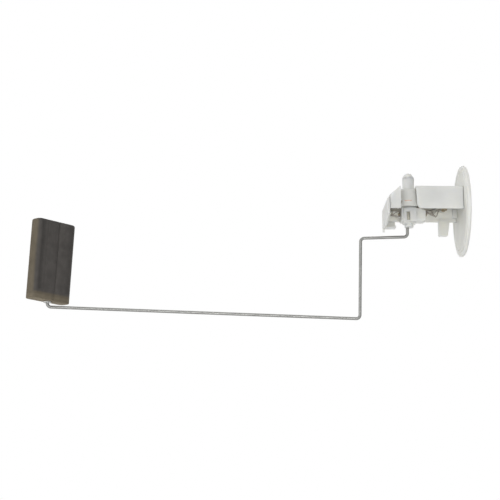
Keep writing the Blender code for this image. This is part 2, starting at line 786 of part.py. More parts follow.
def make_buttons(finish):
    """Domed contact buttons on the leaf tips."""
    radius = BUTTON_DIAMETER / 2
    top = CARD_UNDERSIDE - CLEARANCE
    low = top - BUTTON_HEIGHT + CLEARANCE
    profile = [(0, top), (radius * 0.6, top - 0.00005), (radius, low + 0.00005), (radius, low), (0, low)]
    half = (LEAF_WIDTH + FINGER_GAP) / 4
    for name, x, y in (
        ("wiper_button_front", WIPER_RADIUS, -half),
        ("wiper_button_rear", WIPER_RADIUS, half),
        ("ground_button", -GROUND_RADIUS, 0),
    ):
        placed(name, turned(profile, 12), finish, PIVOT + Vector((x, y, 0)))


def make_guard(finish):
    """The plate that closes the free end, with a foot, a gusset and a tail at its rear corner."""
    inner = HOUSING_LEFT - CLEARANCE
    plate = [
        (-HALF_WIDTH, GUARD_FRONT_TOP),
        (-HALF_WIDTH, GUARD_FRONT_BOTTOM),
        (0, GUARD_BOTTOM),
        (HALF_WIDTH - GUARD_TAIL_WIDTH, GUARD_BOTTOM),
        (HALF_WIDTH - GUARD_TAIL_WIDTH / 2, GUARD_BOTTOM - GUARD_TAIL_DROP),
        (HALF_WIDTH, GUARD_BOTTOM),
        (HALF_WIDTH, GUARD_REAR_TOP),
    ]
    guard = placed("end_guard", extruded(plate, inner - GUARD_THICKNESS, inner, "X"), finish)
    root = inner - GUARD_THICKNESS / 2
    reach = inner + GUARD_FOOT_REACH
    foot_front = HALF_WIDTH - GUARD_FOOT_WIDTH
    foot = block((root, reach), (foot_front, HALF_WIDTH), (GUARD_BOTTOM, GUARD_BOTTOM + GUARD_FOOT_THICKNESS))
    join(guard, helper("guard_foot", foot))
    gusset = block((root, reach), (INNER_HALF, HALF_WIDTH), (GUARD_BOTTOM, REAR_BOTTOM - CLEARANCE))
    join(guard, helper("guard_gusset", gusset))
    tongue_low = CARD_TOP + CLEARANCE
    tongue = block(
        (root, inner + GUARD_TONGUE_REACH),
        (-GUARD_TONGUE_WIDTH, 0),
        (tongue_low, tongue_low + GUARD_TONGUE_THICKNESS),
    )
    join(guard, helper("guard_tongue", tongue))
    return guard


def arm_corners():
    """Corners of the wire's centre line beside the pivot, from the rotor to the rod's tip."""
    wire_top = Vector((-WIRE_SETOVER, 0, WIRE_TOP))
    leg_end = Vector((-WIRE_SETOVER, 0, WIRE_TURN))
    drop_top = leg_end + Vector((-SHORT_REACH, 0, -SHORT_SINK))
    drop_end = drop_top + Vector((-DROP_SET, 0, -ARM_DROP))
    rod_foot = drop_end + Vector((-LONG_REACH, 0, LONG_RISE))
    return [wire_top, leg_end, drop_top, drop_end, rod_foot, rod_foot + rod_run()]


def rod_direction():
    return Vector((math.sin(ROD_LEAN), 0, math.cos(ROD_LEAN)))


def float_start():
    """Distance along the rod from its corner to the float's lower end."""
    return BEND_RADIUS + BUSH_LIP_HEIGHT + 2 * CLEARANCE


def rod_run():
    above = CAP_NUT_HEIGHT + BUSH_LIP_HEIGHT + 3 * CLEARANCE + ROD_TIP - FLOAT_RECESS_DEPTH
    return rod_direction() * (float_start() + FLOAT_LENGTH + above)


def bent_path(corners, radius, steps):
    """The corners joined by straight runs, with each inner corner turned through an arc."""
    points = [corners[0]]
    for before, corner, after in zip(corners, corners[1:], corners[2:]):
        into = (corner - before).normalized()
        out_of = (after - corner).normalized()
        turn = into.angle(out_of)
        setback = radius * math.tan(turn / 2)
        start = corner - into * setback
        inward = (out_of - into * into.dot(out_of)).normalized()
        centre = start + inward * radius
        for step in range(steps + 1):
            angle = turn * step / steps
            points.append(centre - inward * radius * math.cos(angle) + into * radius * math.sin(angle))
    points.append(corners[-1])
    return points


def make_wire_arm(finish):
    """One length of round wire with four bends."""
    curve = bpy.data.curves.new("wire_arm", "CURVE")
    curve.dimensions = "3D"
    curve.bevel_depth = WIRE_RADIUS
    curve.bevel_resolution = (WIRE_SIDES - 4) // 2 // 2
    curve.use_fill_caps = True
    points = bent_path(arm_corners(), BEND_RADIUS, BEND_STEPS)
    spline = curve.splines.new("POLY")
    spline.points.add(len(points) - 1)
    for target, point in zip(spline.points, points):
        target.co = (*point, 1)
    curve.materials.append(finish)
    arm = bpy.data.objects.new("wire_arm", curve)
    arm.location = PIVOT
    bpy.context.scene.collection.objects.link(arm)
    return arm


def float_place():
    """Where the float's lower end meets the rod, and the rod's lean."""
    foot = PIVOT + arm_corners()[4]
    return foot + rod_direction() * float_start(), Matrix.Rotation(ROD_LEAN, 4, "Y")


def set_on_rod(made, turn=0.0):
    """Stands a piece of the float on the leaning rod."""
    location, lean = float_place()
    made.matrix_world = Matrix.Translation(location) @ lean @ Matrix.Rotation(turn, 4, "Z")
    return made


def make_float(finish):
    half_width = FLOAT_WIDTH / 2
    half_depth = FLOAT_DEPTH / 2
    work = block((-half_width, half_width), (-half_depth, half_depth), (0, FLOAT_LENGTH))
    rounded(work, FLOAT_ROUND, lambda edge: True, 3)
    body = set_on_rod(placed("float", work, finish), FLOAT_TURN)
    bore = WIRE_RADIUS + 2 * CLEARANCE
    seat = BUSH_DIAMETER / 2 + CLEARANCE
    seat_depth = BUSH_LENGTH + CLEARANCE
    recess = FLOAT_RECESS_DIAMETER / 2
    recess_floor = FLOAT_LENGTH - FLOAT_RECESS_DEPTH
    stepped = [
        (0, FLOAT_LENGTH + WALL),
        (recess, FLOAT_LENGTH + WALL),
        (recess, recess_floor),
        (seat, recess_floor),
        (seat, recess_floor - seat_depth),
        (bore, recess_floor - seat_depth),
        (bore, seat_depth),
        (seat, seat_depth),
        (seat, -WALL),
        (0, -WALL),
    ]
    cut(body, set_on_rod(helper("float_bore", turned(stepped, SLENDER_STEPS)), FLOAT_TURN))
    for side, face in (("front", -1), ("rear", 1)):
        for line, x, share in (("mould", FLOAT_LINE_PLACE, 1), ("faint", FLOAT_FAINT_LINE_PLACE, 0.5)):
            floor = face * (half_depth - FLOAT_LINE_DEPTH * share)
            outside = face * (half_depth + WALL)
            half_line = FLOAT_LINE_WIDTH * share / 2
            groove = block(
                (x - half_line, x + half_line),
                (min(floor, outside), max(floor, outside)),
                (-WALL, FLOAT_LENGTH + WALL),
            )
            cut(body, set_on_rod(helper(f"{side}_{line}_line", groove), FLOAT_TURN))
    return body


def make_bushes(finish):
    """Lipped bushes in both ends of the float, which turn on the rod."""
    inner = WIRE_RADIUS + CLEARANCE
    outer = BUSH_DIAMETER / 2
    lip = BUSH_LIP_DIAMETER / 2
    profile = [
        (outer, BUSH_LENGTH),
        (outer, -CLEARANCE),
        (lip, -CLEARANCE),
        (lip, -CLEARANCE - BUSH_LIP_HEIGHT),
        (inner, -CLEARANCE - BUSH_LIP_HEIGHT),
        (inner, BUSH_LENGTH),
    ]
    set_on_rod(placed("float_bush_lower", turned(profile, SLENDER_STEPS, hollow=True), finish))
    flipped = [(radius, FLOAT_LENGTH - FLOAT_RECESS_DEPTH - height) for radius, height in profile]
    set_on_rod(placed("float_bush_upper", turned(flipped, SLENDER_STEPS, hollow=True), finish))


def make_cap_nut(finish):
    """The push-on nut that keeps the float on the rod."""
    low = FLOAT_LENGTH - FLOAT_RECESS_DEPTH + BUSH_LIP_HEIGHT + 2 * CLEARANCE
    inner = WIRE_RADIUS + CLEARANCE
    outer = CAP_NUT_DIAMETER / 2
    profile = [
        (outer - CAP_NUT_CHAMFER, low + CAP_NUT_HEIGHT),
        (outer, low + CAP_NUT_HEIGHT - CAP_NUT_CHAMFER),
        (outer, low),
        (inner, low),
        (inner, low + CAP_NUT_HEIGHT),
    ]
    return set_on_rod(placed("float_cap_nut", turned(profile, SLENDER_STEPS, hollow=True), finish))


def build():
    clear_scene()
    white = material("natural_acetal", (0.80, 0.81, 0.78), 0.42)
    steel = material("arm_wire", (0.42, 0.42, 0.41), 0.32, 1.0)
    spring_metal = material("contact_spring", (0.30, 0.22, 0.12), 0.35, 1.0)
    brass = material("terminal_brass", (0.62, 0.45, 0.22), 0.35, 1.0)
    silver = material("contact_button", (0.72, 0.70, 0.66), 0.30, 1.0)
    copper = material("washer_bronze", (0.60, 0.30, 0.16), 0.38, 1.0)
    ceramic = material("card_ceramic", (0.34, 0.32, 0.27), 0.55)
    rubber = material("float_rubber", (0.085, 0.078, 0.070), 0.70)

    disc = make_flange(white)
    make_terminal_block(white, disc)
    make_terminals(brass)
    make_housing(white)
    make_guard(white)
    make_card(ceramic)
    make_card_rivets(brass)
    make_spindle_cap(white)
    make_thrust_washer(copper)
    make_rotor(white)
    make_wire_clamp(white)
    make_springs(spring_metal)
    make_spring_rivets(brass)
    make_buttons(silver)
    make_wire_arm(steel)
    make_float(rubber)
    make_bushes(white)
    make_cap_nut(steel)


build()
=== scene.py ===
import json
import math

import bmesh
import bpy
from bpy.props import FloatProperty, FloatVectorProperty, IntProperty, PointerProperty
from mathutils import Matrix, Vector


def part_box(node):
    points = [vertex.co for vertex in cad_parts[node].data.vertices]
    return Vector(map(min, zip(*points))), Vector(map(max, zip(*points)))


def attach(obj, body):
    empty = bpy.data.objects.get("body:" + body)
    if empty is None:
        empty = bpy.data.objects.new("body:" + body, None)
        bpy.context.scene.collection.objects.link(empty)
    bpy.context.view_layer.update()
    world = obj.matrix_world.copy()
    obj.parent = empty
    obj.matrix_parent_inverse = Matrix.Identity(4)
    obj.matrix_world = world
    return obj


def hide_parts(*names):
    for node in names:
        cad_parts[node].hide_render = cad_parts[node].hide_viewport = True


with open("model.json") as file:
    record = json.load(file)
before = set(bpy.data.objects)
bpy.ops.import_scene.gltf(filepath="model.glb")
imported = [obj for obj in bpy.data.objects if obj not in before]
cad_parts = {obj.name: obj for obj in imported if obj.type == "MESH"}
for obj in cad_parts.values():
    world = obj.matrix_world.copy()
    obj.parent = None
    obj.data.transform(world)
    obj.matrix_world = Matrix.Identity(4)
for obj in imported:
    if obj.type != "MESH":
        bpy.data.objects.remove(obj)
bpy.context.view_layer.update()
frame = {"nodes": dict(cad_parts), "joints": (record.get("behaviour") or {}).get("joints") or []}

bl_info = {
    "name": "Fuel level sender looks",
    "version": (1, 0, 0),
    "blender": (4, 5, 0),
    "location": "3D View > Sidebar > Sender",
    "description": "Finishes, float, arm wire and printed card of a fuel level sender",
    "category": "Object",
}

MM = 0.001
WHITE = (1.0, 1.0, 1.0, 1.0)

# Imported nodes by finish
MOULDED = (
    "flange_disc", "housing", "terminal_block", "end_guard", "spindle_cap", "wire_clamp", "rotor",
    "float_bush_lower", "float_bush_upper",
)
EDGES_ROUNDED = ("end_guard", "rotor", "terminal_block", "housing", "wire_clamp")
SPRINGS = ("wiper_spring", "ground_spring")
BUTTONS = ("wiper_button_front", "wiper_button_rear", "ground_button")
RIVETS = ("wiper_rivet", "ground_rivet", "card_rivet_1", "card_rivet_2", "card_rivet_3")
TERMINALS = ("terminal_1", "terminal_2", "terminal_3")

# Edges of the mouldings: facets closer than this are joined, and sharper corners than this are rounded
FACET_JOIN = 0.000002
ROUNDED_FROM = math.radians(50)

# Points of a turned piece that lie this close are one point
POINT_JOIN = 0.0000005

# A small round's middle point, as a share of its radius off the corner
ROUND_MIDDLE = 0.3

# The cap's outline from its tip down, as shares of its radius and its height over the sleeve
DOME_CURVE = (
    (0.0, 1.0), (0.18, 0.985), (0.33, 0.95), (0.47, 0.87), (0.60, 0.76),
    (0.72, 0.61), (0.83, 0.44), (0.91, 0.27), (0.97, 0.12), (1.0, 0.02),
)
DOME_STEPS = 48

# The shroud's edges and the clip's lip, as shares of the shroud's wall
SHROUD_SOFT = 0.6
CLIP_LIP = 0.12
SHROUD_STEPS = 28
CLIP_STEPS = 14

# Middle lines of the leaves that back up the springs: place along the rotor and height, from the pivot, in mm
BACKING_LEAVES = {
    "wiper_backing_low": (
        (10.8, -3.0), (11.0, -2.2), (13.0, -1.6), (15.0, -1.2), (15.8, -1.6), (16.4, -2.9),
    ),
    "wiper_backing_high": (
        (10.8, -1.0), (11.1, 0.0), (11.7, 0.3), (14.6, -0.1), (16.0, -1.0), (17.2, -1.2),
        (18.0, 0.2), (18.9, 0.5),
    ),
    "ground_backing": (
        (-6.0, -1.2), (-6.3, -0.5), (-7.2, -0.4), (-8.6, -0.9), (-9.3, -1.8), (-10.2, -2.3), (-11.1, -2.0),
    ),
}

# The card's prints. Layers are from the card down, in ink thicknesses.
RESISTOR_LAYER = (0.4, 1.6)
LEAD_LAYER = (0.2, 0.8)
RESISTOR_STEPS = 48
GROUND_STEPS = 28

# The ground path's sweep in the resistor's, and where its lead leaves it, in path radii from the pivot
GROUND_SWEEP = 1.1
GROUND_LEAD_START = (-0.74, 0.62)

# From a lead's ends to its corners, and where leads meet the outer pads, in pad pitches
GROUND_LEAD_CORNER = 0.004
WIPER_LEAD_CORNER = 0.003
LEAD_END = 1.2

# A pad's left and right ends, from the line of the pads
PAD_ENDS = (-0.0018, 0.0010)

# The wire's tail: its section as shares of half its width and of its crown, and its levels with their width
TAIL_SECTION = ((-1.0, 1.0), (-1.0, 0.35), (-0.6, 0.0), (0.6, 0.0), (1.0, 0.35), (1.0, 1.0))
TAIL_LEVELS = ((0.0, 0.8), (0.08, 1.0), (0.5, 1.0), (0.92, 1.0), (1.0, 0.8))
TAIL_CROWN = 0.35

# How bare the foam is, a scale that also carries painted light and shade: -1 deepest painted shade, 0 plain
# skin,
# 1 bare brown foam with painted light, 2 cut foam with the brightest painted light. The upper end and its
# recess get painted shade.
DEEPEST_SHADE, LIT_CUT_FOAM = -1.0, 2.0
UPPER_END_SHADE = -0.6
RECESS_SHADE = -0.3

# Along a broad face of the float: distance from the left corner's round, with how bare it is there. The
# values under 0 beside both corners are a strip of painted shade.
LEFT_CORNER_SHADE = ((0.0, -0.7), (0.0014, -0.55), (0.0030, -0.05))
RIGHT_CORNER_SHADE = -0.5
PLAIN_PLACES = (-0.4, -0.1, 0.4, 0.55)

# Across a mould line of the float: place in line widths, with the share of its depth. The line's darkening is
# painted shade, full from the given depth.
GROOVE = ((-1.0, 0.0), (-0.4, 1.0), (0.4, 1.0), (1.0, 0.0))
GROOVE_SHADE = -0.35
DARK_GROOVE_DEPTH = 0.0003
FAINT_SHARE = 0.3

# Up the float's lower end: place in band heights, with how bare it is there. The band is bare brown foam with
# a painted highlight that fades upwards.
BAND_FADE = ((0.55, 1.25), (0.8, 0.95), (1.0, 0.55), (1.25, 0.15), (1.6, DEEPEST_SHADE))
MIDDLE_LEVELS = (0.25, 0.4, 0.55, 0.7, 0.85)

# Round the edge of the cut lower end: how bare it is at the side, and how much barer it gets per radian.
# Values over 1 are painted light, growing towards the underside.
FOOT_TONE = 1.25
FOOT_GAIN = 0.25

# Round a corner of the float: how fast and from where the tone rises, from painted shade next to the broad
# face to bare foam with painted light on the narrow side, and how small the corner may get
CORNER_TONE_RATE = 1.6
CORNER_SHADE_START = -0.5
LEAST_CORNER = 0.3
SIDE_PLACES = (1.0, 0.5, 0.0, -0.5, -1.0)
CORNER_STEPS = 8
END_STEPS = 5
RECESS_STEPS = 32
RECESS_LIP = 0.0003

BEND_STEPS = 12
WIRE_SIDES = 24

# Lamps: place, side length in metres and power in watts
LAMPS = {
    "key_light": ((-1.3, -1.0, 0.1), 1.4, 8.5),
    "fill_light": ((-0.1, -1.55, -0.33), 0.3, 6.5),
    "top_light": ((-0.4, 0.3, 1.4), 1.4, 4.5),
    "back_light": ((0.5, 1.4, 0.3), 1.2, 6.0),
}
LIT_POINT = (-0.145, 0.0, -0.02)

# Sockets of the Mix node when it mixes colours
MIX_FACTOR, MIX_FIRST, MIX_SECOND, MIX_RESULT = 0, 6, 7, 2


def colour_setting(name, description, default):
    return FloatVectorProperty(
        name=name, description=description, default=default, size=3, min=0.0, max=1.0, subtype="COLOR"
    )


def share_setting(name, description, default):
    """From none to all."""
    return FloatProperty(
        name=name, description=description, default=default, min=0.0, max=1.0, subtype="FACTOR"
    )


def length_setting(name, description, default):
    """A size in metres."""
    return FloatProperty(
        name=name, description=description, default=default, min=0.0, precision=5, unit="LENGTH"
    )


def place_setting(name, description, default):
    """A place along one axis, in metres, on either side of zero."""
    return FloatProperty(name=name, description=description, default=default, precision=5, unit="LENGTH")


def point_setting(name, description, default):
    """A point, in metres."""
    return FloatVectorProperty(
        name=name, description=description, default=default, size=3, subtype="TRANSLATION", unit="LENGTH"
    )


def angle_setting(name, description, degrees):
    return FloatProperty(name=name, description=description, default=math.radians(degrees), subtype="ANGLE")


class MouldingSettings(bpy.types.PropertyGroup):
    """Natural acetal of the mouldings, and the thin shroud in front of the bearing sleeve."""

    colour: colour_setting("Resin colour", "Colour of the unpigmented acetal", (0.765, 0.768, 0.73))
    roughness: share_setting("Roughness", "How matt the moulded skin is", 0.42)
    milkiness: share_setting("Milkiness", "Share of the light that scatters inside the resin", 0.9)
    # Painted light: the shroud gets a lighter copy of the resin, with less inner scatter, so that it renders
    # whiter in the shade where it stands.
    lit_shroud_milkiness: share_setting("Thin wall milkiness", "The same share in the thin shroud", 0.15)
    scatter_depth: length_setting("Scatter depth", "How far light travels inside the resin", 0.0045)
    edge_radius: length_setting("Edge radius", "Small round that the mould leaves on edges", 0.00018)
    shroud_radius: length_setting("Shroud radius", "Outer radius of the thin shroud", 0.0094)
    shroud_wall: length_setting("Shroud wall", "Thickness of the thin shroud", 0.0008)
    shroud_root: length_setting("Shroud root", "Radius at which its top runs into the sleeve", 0.0036)
    shroud_drop: length_setting("Shroud drop", "How far its top lies under the top of the sleeve", 0.0095)
    shroud_foot: place_setting("Shroud foot", "Height of the shroud's lower edge", 0.0015)
    shroud_left: angle_setting("Shroud left angle", "How far it reaches round the sleeve to the left", 52.0)
    shroud_right: angle_setting("Shroud right angle", "How far it reaches round to the right", 38.5)
    notch_height: length_setting(
        "Notch height", "How far its lower left corner is cut up, so that the ground contact passes", 0.0017
    )
    notch_reach: angle_setting("Notch reach", "How far that cut runs round from the left end", 10.0)
    clip_colour: colour_setting("Clip colour", "Colour of the bronze clip", (0.66, 0.50, 0.41))
    clip_height: place_setting("Clip height", "Height of the bronze clip on the shroud", 0.0046)
    clip_width: length_setting("Clip width", "Width of the bronze clip's strip", 0.0005)
    clip_left: angle_setting("Clip left angle", "How far the clip runs round to the left", 24.0)
    clip_right: angle_setting("Clip right angle", "How far the clip runs round to the right", 4.0)


class ContactSettings(bpy.types.PropertyGroup):
    """Springs, buttons, rivets, terminals, thrust washer and cap nut."""

    spring_colour: colour_setting("Spring colour", "Colour of the contact springs", (0.27, 0.25, 0.22))
    button_colour: colour_setting("Button colour", "Colour of the contact buttons", (0.72, 0.70, 0.66))
    rivet_colour: colour_setting("Rivet colour", "Colour of the brass rivets", (0.40, 0.34, 0.24))
    terminal_colour: colour_setting("Terminal colour", "Colour of the brass terminals", (0.50, 0.42, 0.28))
    washer_colour: colour_setting("Washer colour", "Colour of the bronze washer", (0.66, 0.47, 0.36))
    nut_colour: colour_setting("Cap nut colour", "Colour of the steel cap nut", (0.50, 0.50, 0.49))
    leaf_thickness: length_setting("Leaf thickness", "Thickness of the backing leaves", 0.00036)
    leaf_width: length_setting("Leaf width", "Width of the backing leaves", 0.0018)


class CardSettings(bpy.types.PropertyGroup):
    """Resistor card and what is printed on it."""

    colour: colour_setting("Ceramic colour", "Colour of the fired ceramic card", (0.34, 0.32, 0.27))
    ink_colour: colour_setting("Resistor ink colour", "Colour of the resistor", (0.035, 0.028, 0.022))
    silver_colour: colour_setting("Silver ink colour", "Colour of bars and leads", (0.50, 0.49, 0.46))
    wiper_radius: length_setting("Wiper radius", "Radius of the path that the wiper sweeps", 0.0206)
    ground_radius: length_setting("Ground radius", "Radius of the ground contact's path", 0.0084)
    segment_count: IntProperty(
        name="Segments", description="Silver bars that the wiper crosses", min=8, max=80, default=38
    )
    sweep: angle_setting("Sweep", "Half the angle of the printed path", 37.0)
    ink_thickness: length_setting("Ink thickness", "Thickness of the silver prints", 0.00005)
    bar_width: length_setting("Bar width", "Width of a silver bar", 0.00026)
    bar_inner: length_setting("Bar inner end", "Reach of a bar inside the wiper's path", 0.0013)
    bar_outer: length_setting("Bar outer end", "Reach of a bar outside the wiper's path", 0.0009)
    resistor_inset: length_setting("Resistor inset", "How far it lies inside the wiper's path", 0.0017)
    resistor_width: length_setting("Resistor width", "Width of the printed resistor", 0.0014)
    ground_width: length_setting("Ground width", "Width of the ground contact's path", 0.0020)
    lead_width: length_setting("Lead width", "Width of the leads to the pads", 0.0007)
    lead_margin: length_setting("Lead margin", "From the card's rear edge to the ground lead", 0.0009)
    pad_margin: length_setting("Pad margin", "From the card's right edge to the line of the pads", 0.0012)
    pad_pitch: length_setting("Pad pitch", "From one pad to the next", 0.006)
    pad_width: length_setting("Pad width", "Width of a pad", 0.0030)


class WireSettings(bpy.types.PropertyGroup):
    """Drawn steel wire of the arm, its bends given in the pivot's own upright plane."""

    colour: colour_setting("Steel colour", "Colour of the drawn wire", (0.25, 0.25, 0.24))
    roughness: share_setting("Roughness", "How matt the drawn wire is", 0.40)
    diameter: length_setting("Wire diameter", "Diameter of the wire", 0.0020)
    bend_radius: length_setting("Bend radius", "Radius of the wire's middle line in each bend", 0.0025)
    tip_trim: length_setting("Tip trim", "How much shorter the tip is, to end in the recess", 0.0015)
    leg_bend: point_setting("Leg bend", "Corner under the rotor, from the pivot", (-0.0012, 0.0, -0.0174))
    drop_bend: point_setting(
        "Drop bend", "Corner where the wire turns down, from the pivot", (-0.03195, 0.0, -0.01855)
    )
    elbow: point_setting("Elbow", "Corner at the foot of the drop, from the pivot", (-0.03315, 0.0, -0.07175))
    # Painted light: the tail's steel is lighter than the wire's, so that the shaded clamp window reads
    # lighter.
    lit_tail_colour: colour_setting("Tail colour", "Colour of the wire's flattened tail", (0.34, 0.33, 0.28))
    flat_width: length_setting("Tail width", "Width of the tail in the clamp's window", 0.0019)
    flat_height: length_setting("Tail height", "Height of the flattened tail", 0.0053)
    flat_sill: length_setting("Tail sill", "How far it starts above the clamp's lower end", 0.00095)
    flat_setback: length_setting("Tail setback", "How far it lies behind the clamp's face", 0.0006)


class FloatSettings(bpy.types.PropertyGroup):
    """Foam rubber float."""

    skin_colour: colour_setting("Skin colour", "Colour of the broad faces", (0.075, 0.069, 0.064))
    # This colour also shows painted light on the narrow sides and the lower end.
    edge_colour: colour_setting("Edge colour", "Browner colour of bare foam", (0.128, 0.108, 0.077))
    side_radius: length_setting("Side radius", "Round along the four upright edges", 0.0034)
    end_radius: length_setting("End radius", "Round along the edges of the upper end", 0.0013)
    foot_radius: length_setting("Foot radius", "Sharper round along the lower end, where it was cut", 0.0006)
    recess_radius: length_setting("Recess radius", "Radius of the recess in the upper end", 0.0036)
    recess_depth: length_setting("Recess depth", "Depth of the recess in the upper end", 0.0022)
    # The brown band is bare foam with a painted highlight.
    band_height: length_setting("Bare band height", "Height of the brown band at the lower end", 0.0042)
    line_place: place_setting("Mould line place", "From a broad face's middle to its main line", 0.0014)
    faint_line_place: place_setting("Faint line place", "From the same middle to its faint line", -0.0076)
    line_width: length_setting("Mould line width", "Half the width of the lines", 0.0007)
    line_depth: length_setting("Mould line depth", "Depth of the main line", 0.00035)
    pore_size: length_setting("Pore size", "Size of the foam's open pores", 0.0006)


class StageSettings(bpy.types.PropertyGroup):
    """Floor, light and camera."""

    azimuth: angle_setting("Azimuth", "Camera's turn round the object, 0 looks along +Y", -2.0)
    elevation: angle_setting("Elevation", "Camera's angle above the horizon", -12.0)
    distance: length_setting("Camera distance", "From the camera to the point it looks at", 1.0)
    lens: FloatProperty(
        name="Lens", description="Focal length in millimetres", min=20.0, max=300.0, default=110.77
    )
    target: point_setting("Target", "Point the camera looks at", (-0.14051, 0.0, -0.02688))
    floor_height: place_setting("Floor height", "Height of the floor under the sender", -0.5)
    room_light: share_setting("Room light", "Strength of the even light from all round", 0.42)
    floor_glow: share_setting("Floor glow", "Light added to the floor where it is seen", 0.58)


def join_sockets(owner, source, target):
    owner.node_tree.links.new(source, target)


def add_node(owner, kind, values=None, links=None, **settings):
    """Adds one shader node to a finish or a world, sets its inputs and joins other sockets to it."""
    made = owner.node_tree.nodes.new("ShaderNode" + kind)
    for key, value in settings.items():
        setattr(made, key, value)
    for key, value in (values or {}).items():
        made.inputs[key].default_value = value
    for key, socket in (links or {}).items():
        join_sockets(owner, socket, made.inputs[key])
    return made


def feed(owner, target, value):
    """Gives an input a number, a colour or another node's result."""
    if isinstance(value, bpy.types.NodeSocket):
        join_sockets(owner, value, target)
    else:
        target.default_value = value


def combine(owner, operation, *terms):
    """One step of arithmetic on numbers and sockets."""
    made = add_node(owner, "Math", operation=operation)
    for target, term in zip(made.inputs, terms):
        feed(owner, target, term)
    return made.outputs["Value"]


def ramp(owner, value, from_low, from_high, to_low=0.0, to_high=1.0, **settings):
    """Takes a value from one range to another and holds it at the ends."""
    limits = {"From Min": from_low, "From Max": from_high, "To Min": to_low, "To Max": to_high}
    return add_node(owner, "MapRange", limits, {"Value": value}, **settings).outputs["Result"]


def speckle(finish, place, size, low, high, detail=3.0):
    """Noise with features of that size in metres, spread between two values."""
    noise = add_node(finish, "TexNoise", {"Scale": 1.0 / size, "Detail": detail}, {"Vector": place})
    usual_low, usual_high = 0.32, 0.68
    return ramp(finish, noise.outputs["Fac"], usual_low, usual_high, low, high)


def stretched_noise(finish, place, scale, detail):
    """Noise drawn out along the axes with the smaller scales."""
    stretch = add_node(finish, "Mapping", {"Scale": scale}, {"Vector": place})
    noise = add_node(
        finish, "TexNoise", {"Scale": 1.0, "Detail": detail}, {"Vector": stretch.outputs["Vector"]}
    )
    return noise.outputs["Fac"]


def colour_mix(finish, factor, first, second):
    """Runs from the first colour to the second."""
    mixed = add_node(finish, "Mix", links={MIX_FACTOR: factor}, data_type="RGBA")
    feed(finish, mixed.inputs[MIX_FIRST], first)
    feed(finish, mixed.inputs[MIX_SECOND], second)
    return mixed.outputs[MIX_RESULT]


def clouded(finish, clouds, colour, dark, light):
    """The colour in clouds between two shares of its own brightness."""
    tones = [(*(min(1.0, value * share) for value in colour), 1.0) for share in (dark, light)]
    return colour_mix(finish, clouds, *tones)


def relief(finish, shader, height, depth, strength):
    bump = add_node(finish, "Bump", {"Strength": strength, "Distance": depth}, {"Height": height})
    join_sockets(finish, bump.outputs["Normal"], shader.inputs["Normal"])


def new_finish(name, roughness, metallic=0.0):
    """A new finish with its shader and the place on the object."""
    made = bpy.data.materials.new(name)
    made.use_nodes = True
    shader = made.node_tree.nodes["Principled BSDF"]
    shader.inputs["Roughness"].default_value = roughness
    shader.inputs["Metallic"].default_value = metallic
    place = add_node(made, "TexCoord").outputs["Object"]
    return made, shader, place


def grained_finish(name, colour, tones, roughness, spread, sizes, strength, metallic=0.0, cloud_detail=3.0):
    """Colour clouds, patches that are less or more matt, and a fine raised grain, of three sizes."""
    finish, shader, place = new_finish(name, roughness, metallic)
    cloud_size, patch_size, grain_size = sizes
    grain_depth = 0.00001
    clouds = speckle(finish, place, cloud_size, 0.0, 1.0, cloud_detail)
    join_sockets(finish, clouded(finish, clouds, colour, *tones), shader.inputs["Base Color"])
    patches = speckle(finish, place, patch_size, roughness - spread[0], roughness + spread[1])
    join_sockets(finish, patches, shader.inputs["Roughness"])
    relief(finish, shader, speckle(finish, place, grain_size, 0.0, 1.0), grain_depth, strength)
    return finish, shader


def acetal_finish(name, settings, milkiness):
    """Satin natural acetal with a faint grain, flow clouds and light scattered inside."""
    finish, shader = grained_finish(
        name, settings.colour, tones=(0.96, 1.02), roughness=settings.roughness, spread=(0.06, 0.07),
        sizes=(0.009, 0.0012, 0.00035), strength=0.5, cloud_detail=2.0,
    )
    shader.inputs["Subsurface Weight"].default_value = milkiness
    shader.inputs["Subsurface Radius"].default_value = (1.0, 0.96, 0.86)
    shader.inputs["Subsurface Scale"].default_value = settings.scatter_depth
    shader.inputs["IOR"].default_value = 1.48
    shader.inputs["Specular IOR Level"].default_value = 0.35
    return finish


def metal_finish(name, colour, roughness, grain_size, tarnish=0.15):
    """Satin metal with tarnish clouds and a fine grain."""
    finish, _ = grained_finish(
        name, colour, tones=(1.0 - tarnish, 1.0 + tarnish / 2), roughness=roughness, spread=(0.07, 0.09),
        sizes=(0.0025, grain_size * 2, grain_size), strength=0.4, metallic=1.0,
    )
    return finish


def ceramic_finish(settings):
    """Dull fired ceramic."""
    finish, _ = grained_finish(
        "card_ceramic", settings.colour, tones=(0.93, 1.05), roughness=0.6, spread=(0.08, 0.08),
        sizes=(0.004, 0.0008, 0.0002), strength=0.5,
    )
    return finish


def ink_finish(name, colour, roughness, metallic):
    """Screen printed and fired ink with the mesh grain of the screen."""
    finish, _ = grained_finish(
        name, colour, tones=(0.85, 1.12), roughness=roughness, spread=(0.08, 0.08),
        sizes=(0.0011, 0.0005, 0.00018), strength=0.6, metallic=metallic,
    )
    return finish


def wire_finish(settings):
    """Drawn steel with fine lines along the wire, read from its own lengthways map."""
    finish, shader, place = new_finish("arm_wire", settings.roughness, 1.0)
    along = add_node(finish, "UVMap", uv_map="wire_map").outputs["UV"]
    lines = stretched_noise(finish, along, scale=(3.0, 40.0, 1.0), detail=4.0)
    smudges = speckle(finish, place, 0.007, 0.0, 1.0)
    join_sockets(finish, clouded(finish, smudges, settings.colour, 0.88, 1.06), shader.inputs["Base Color"])
    matt = ramp(finish, lines, 0.0, 1.0, settings.roughness - 0.08, settings.roughness + 0.10)
    join_sockets(finish, matt, shader.inputs["Roughness"])
    relief(finish, shader, lines, depth=0.00002, strength=0.6)
    return finish


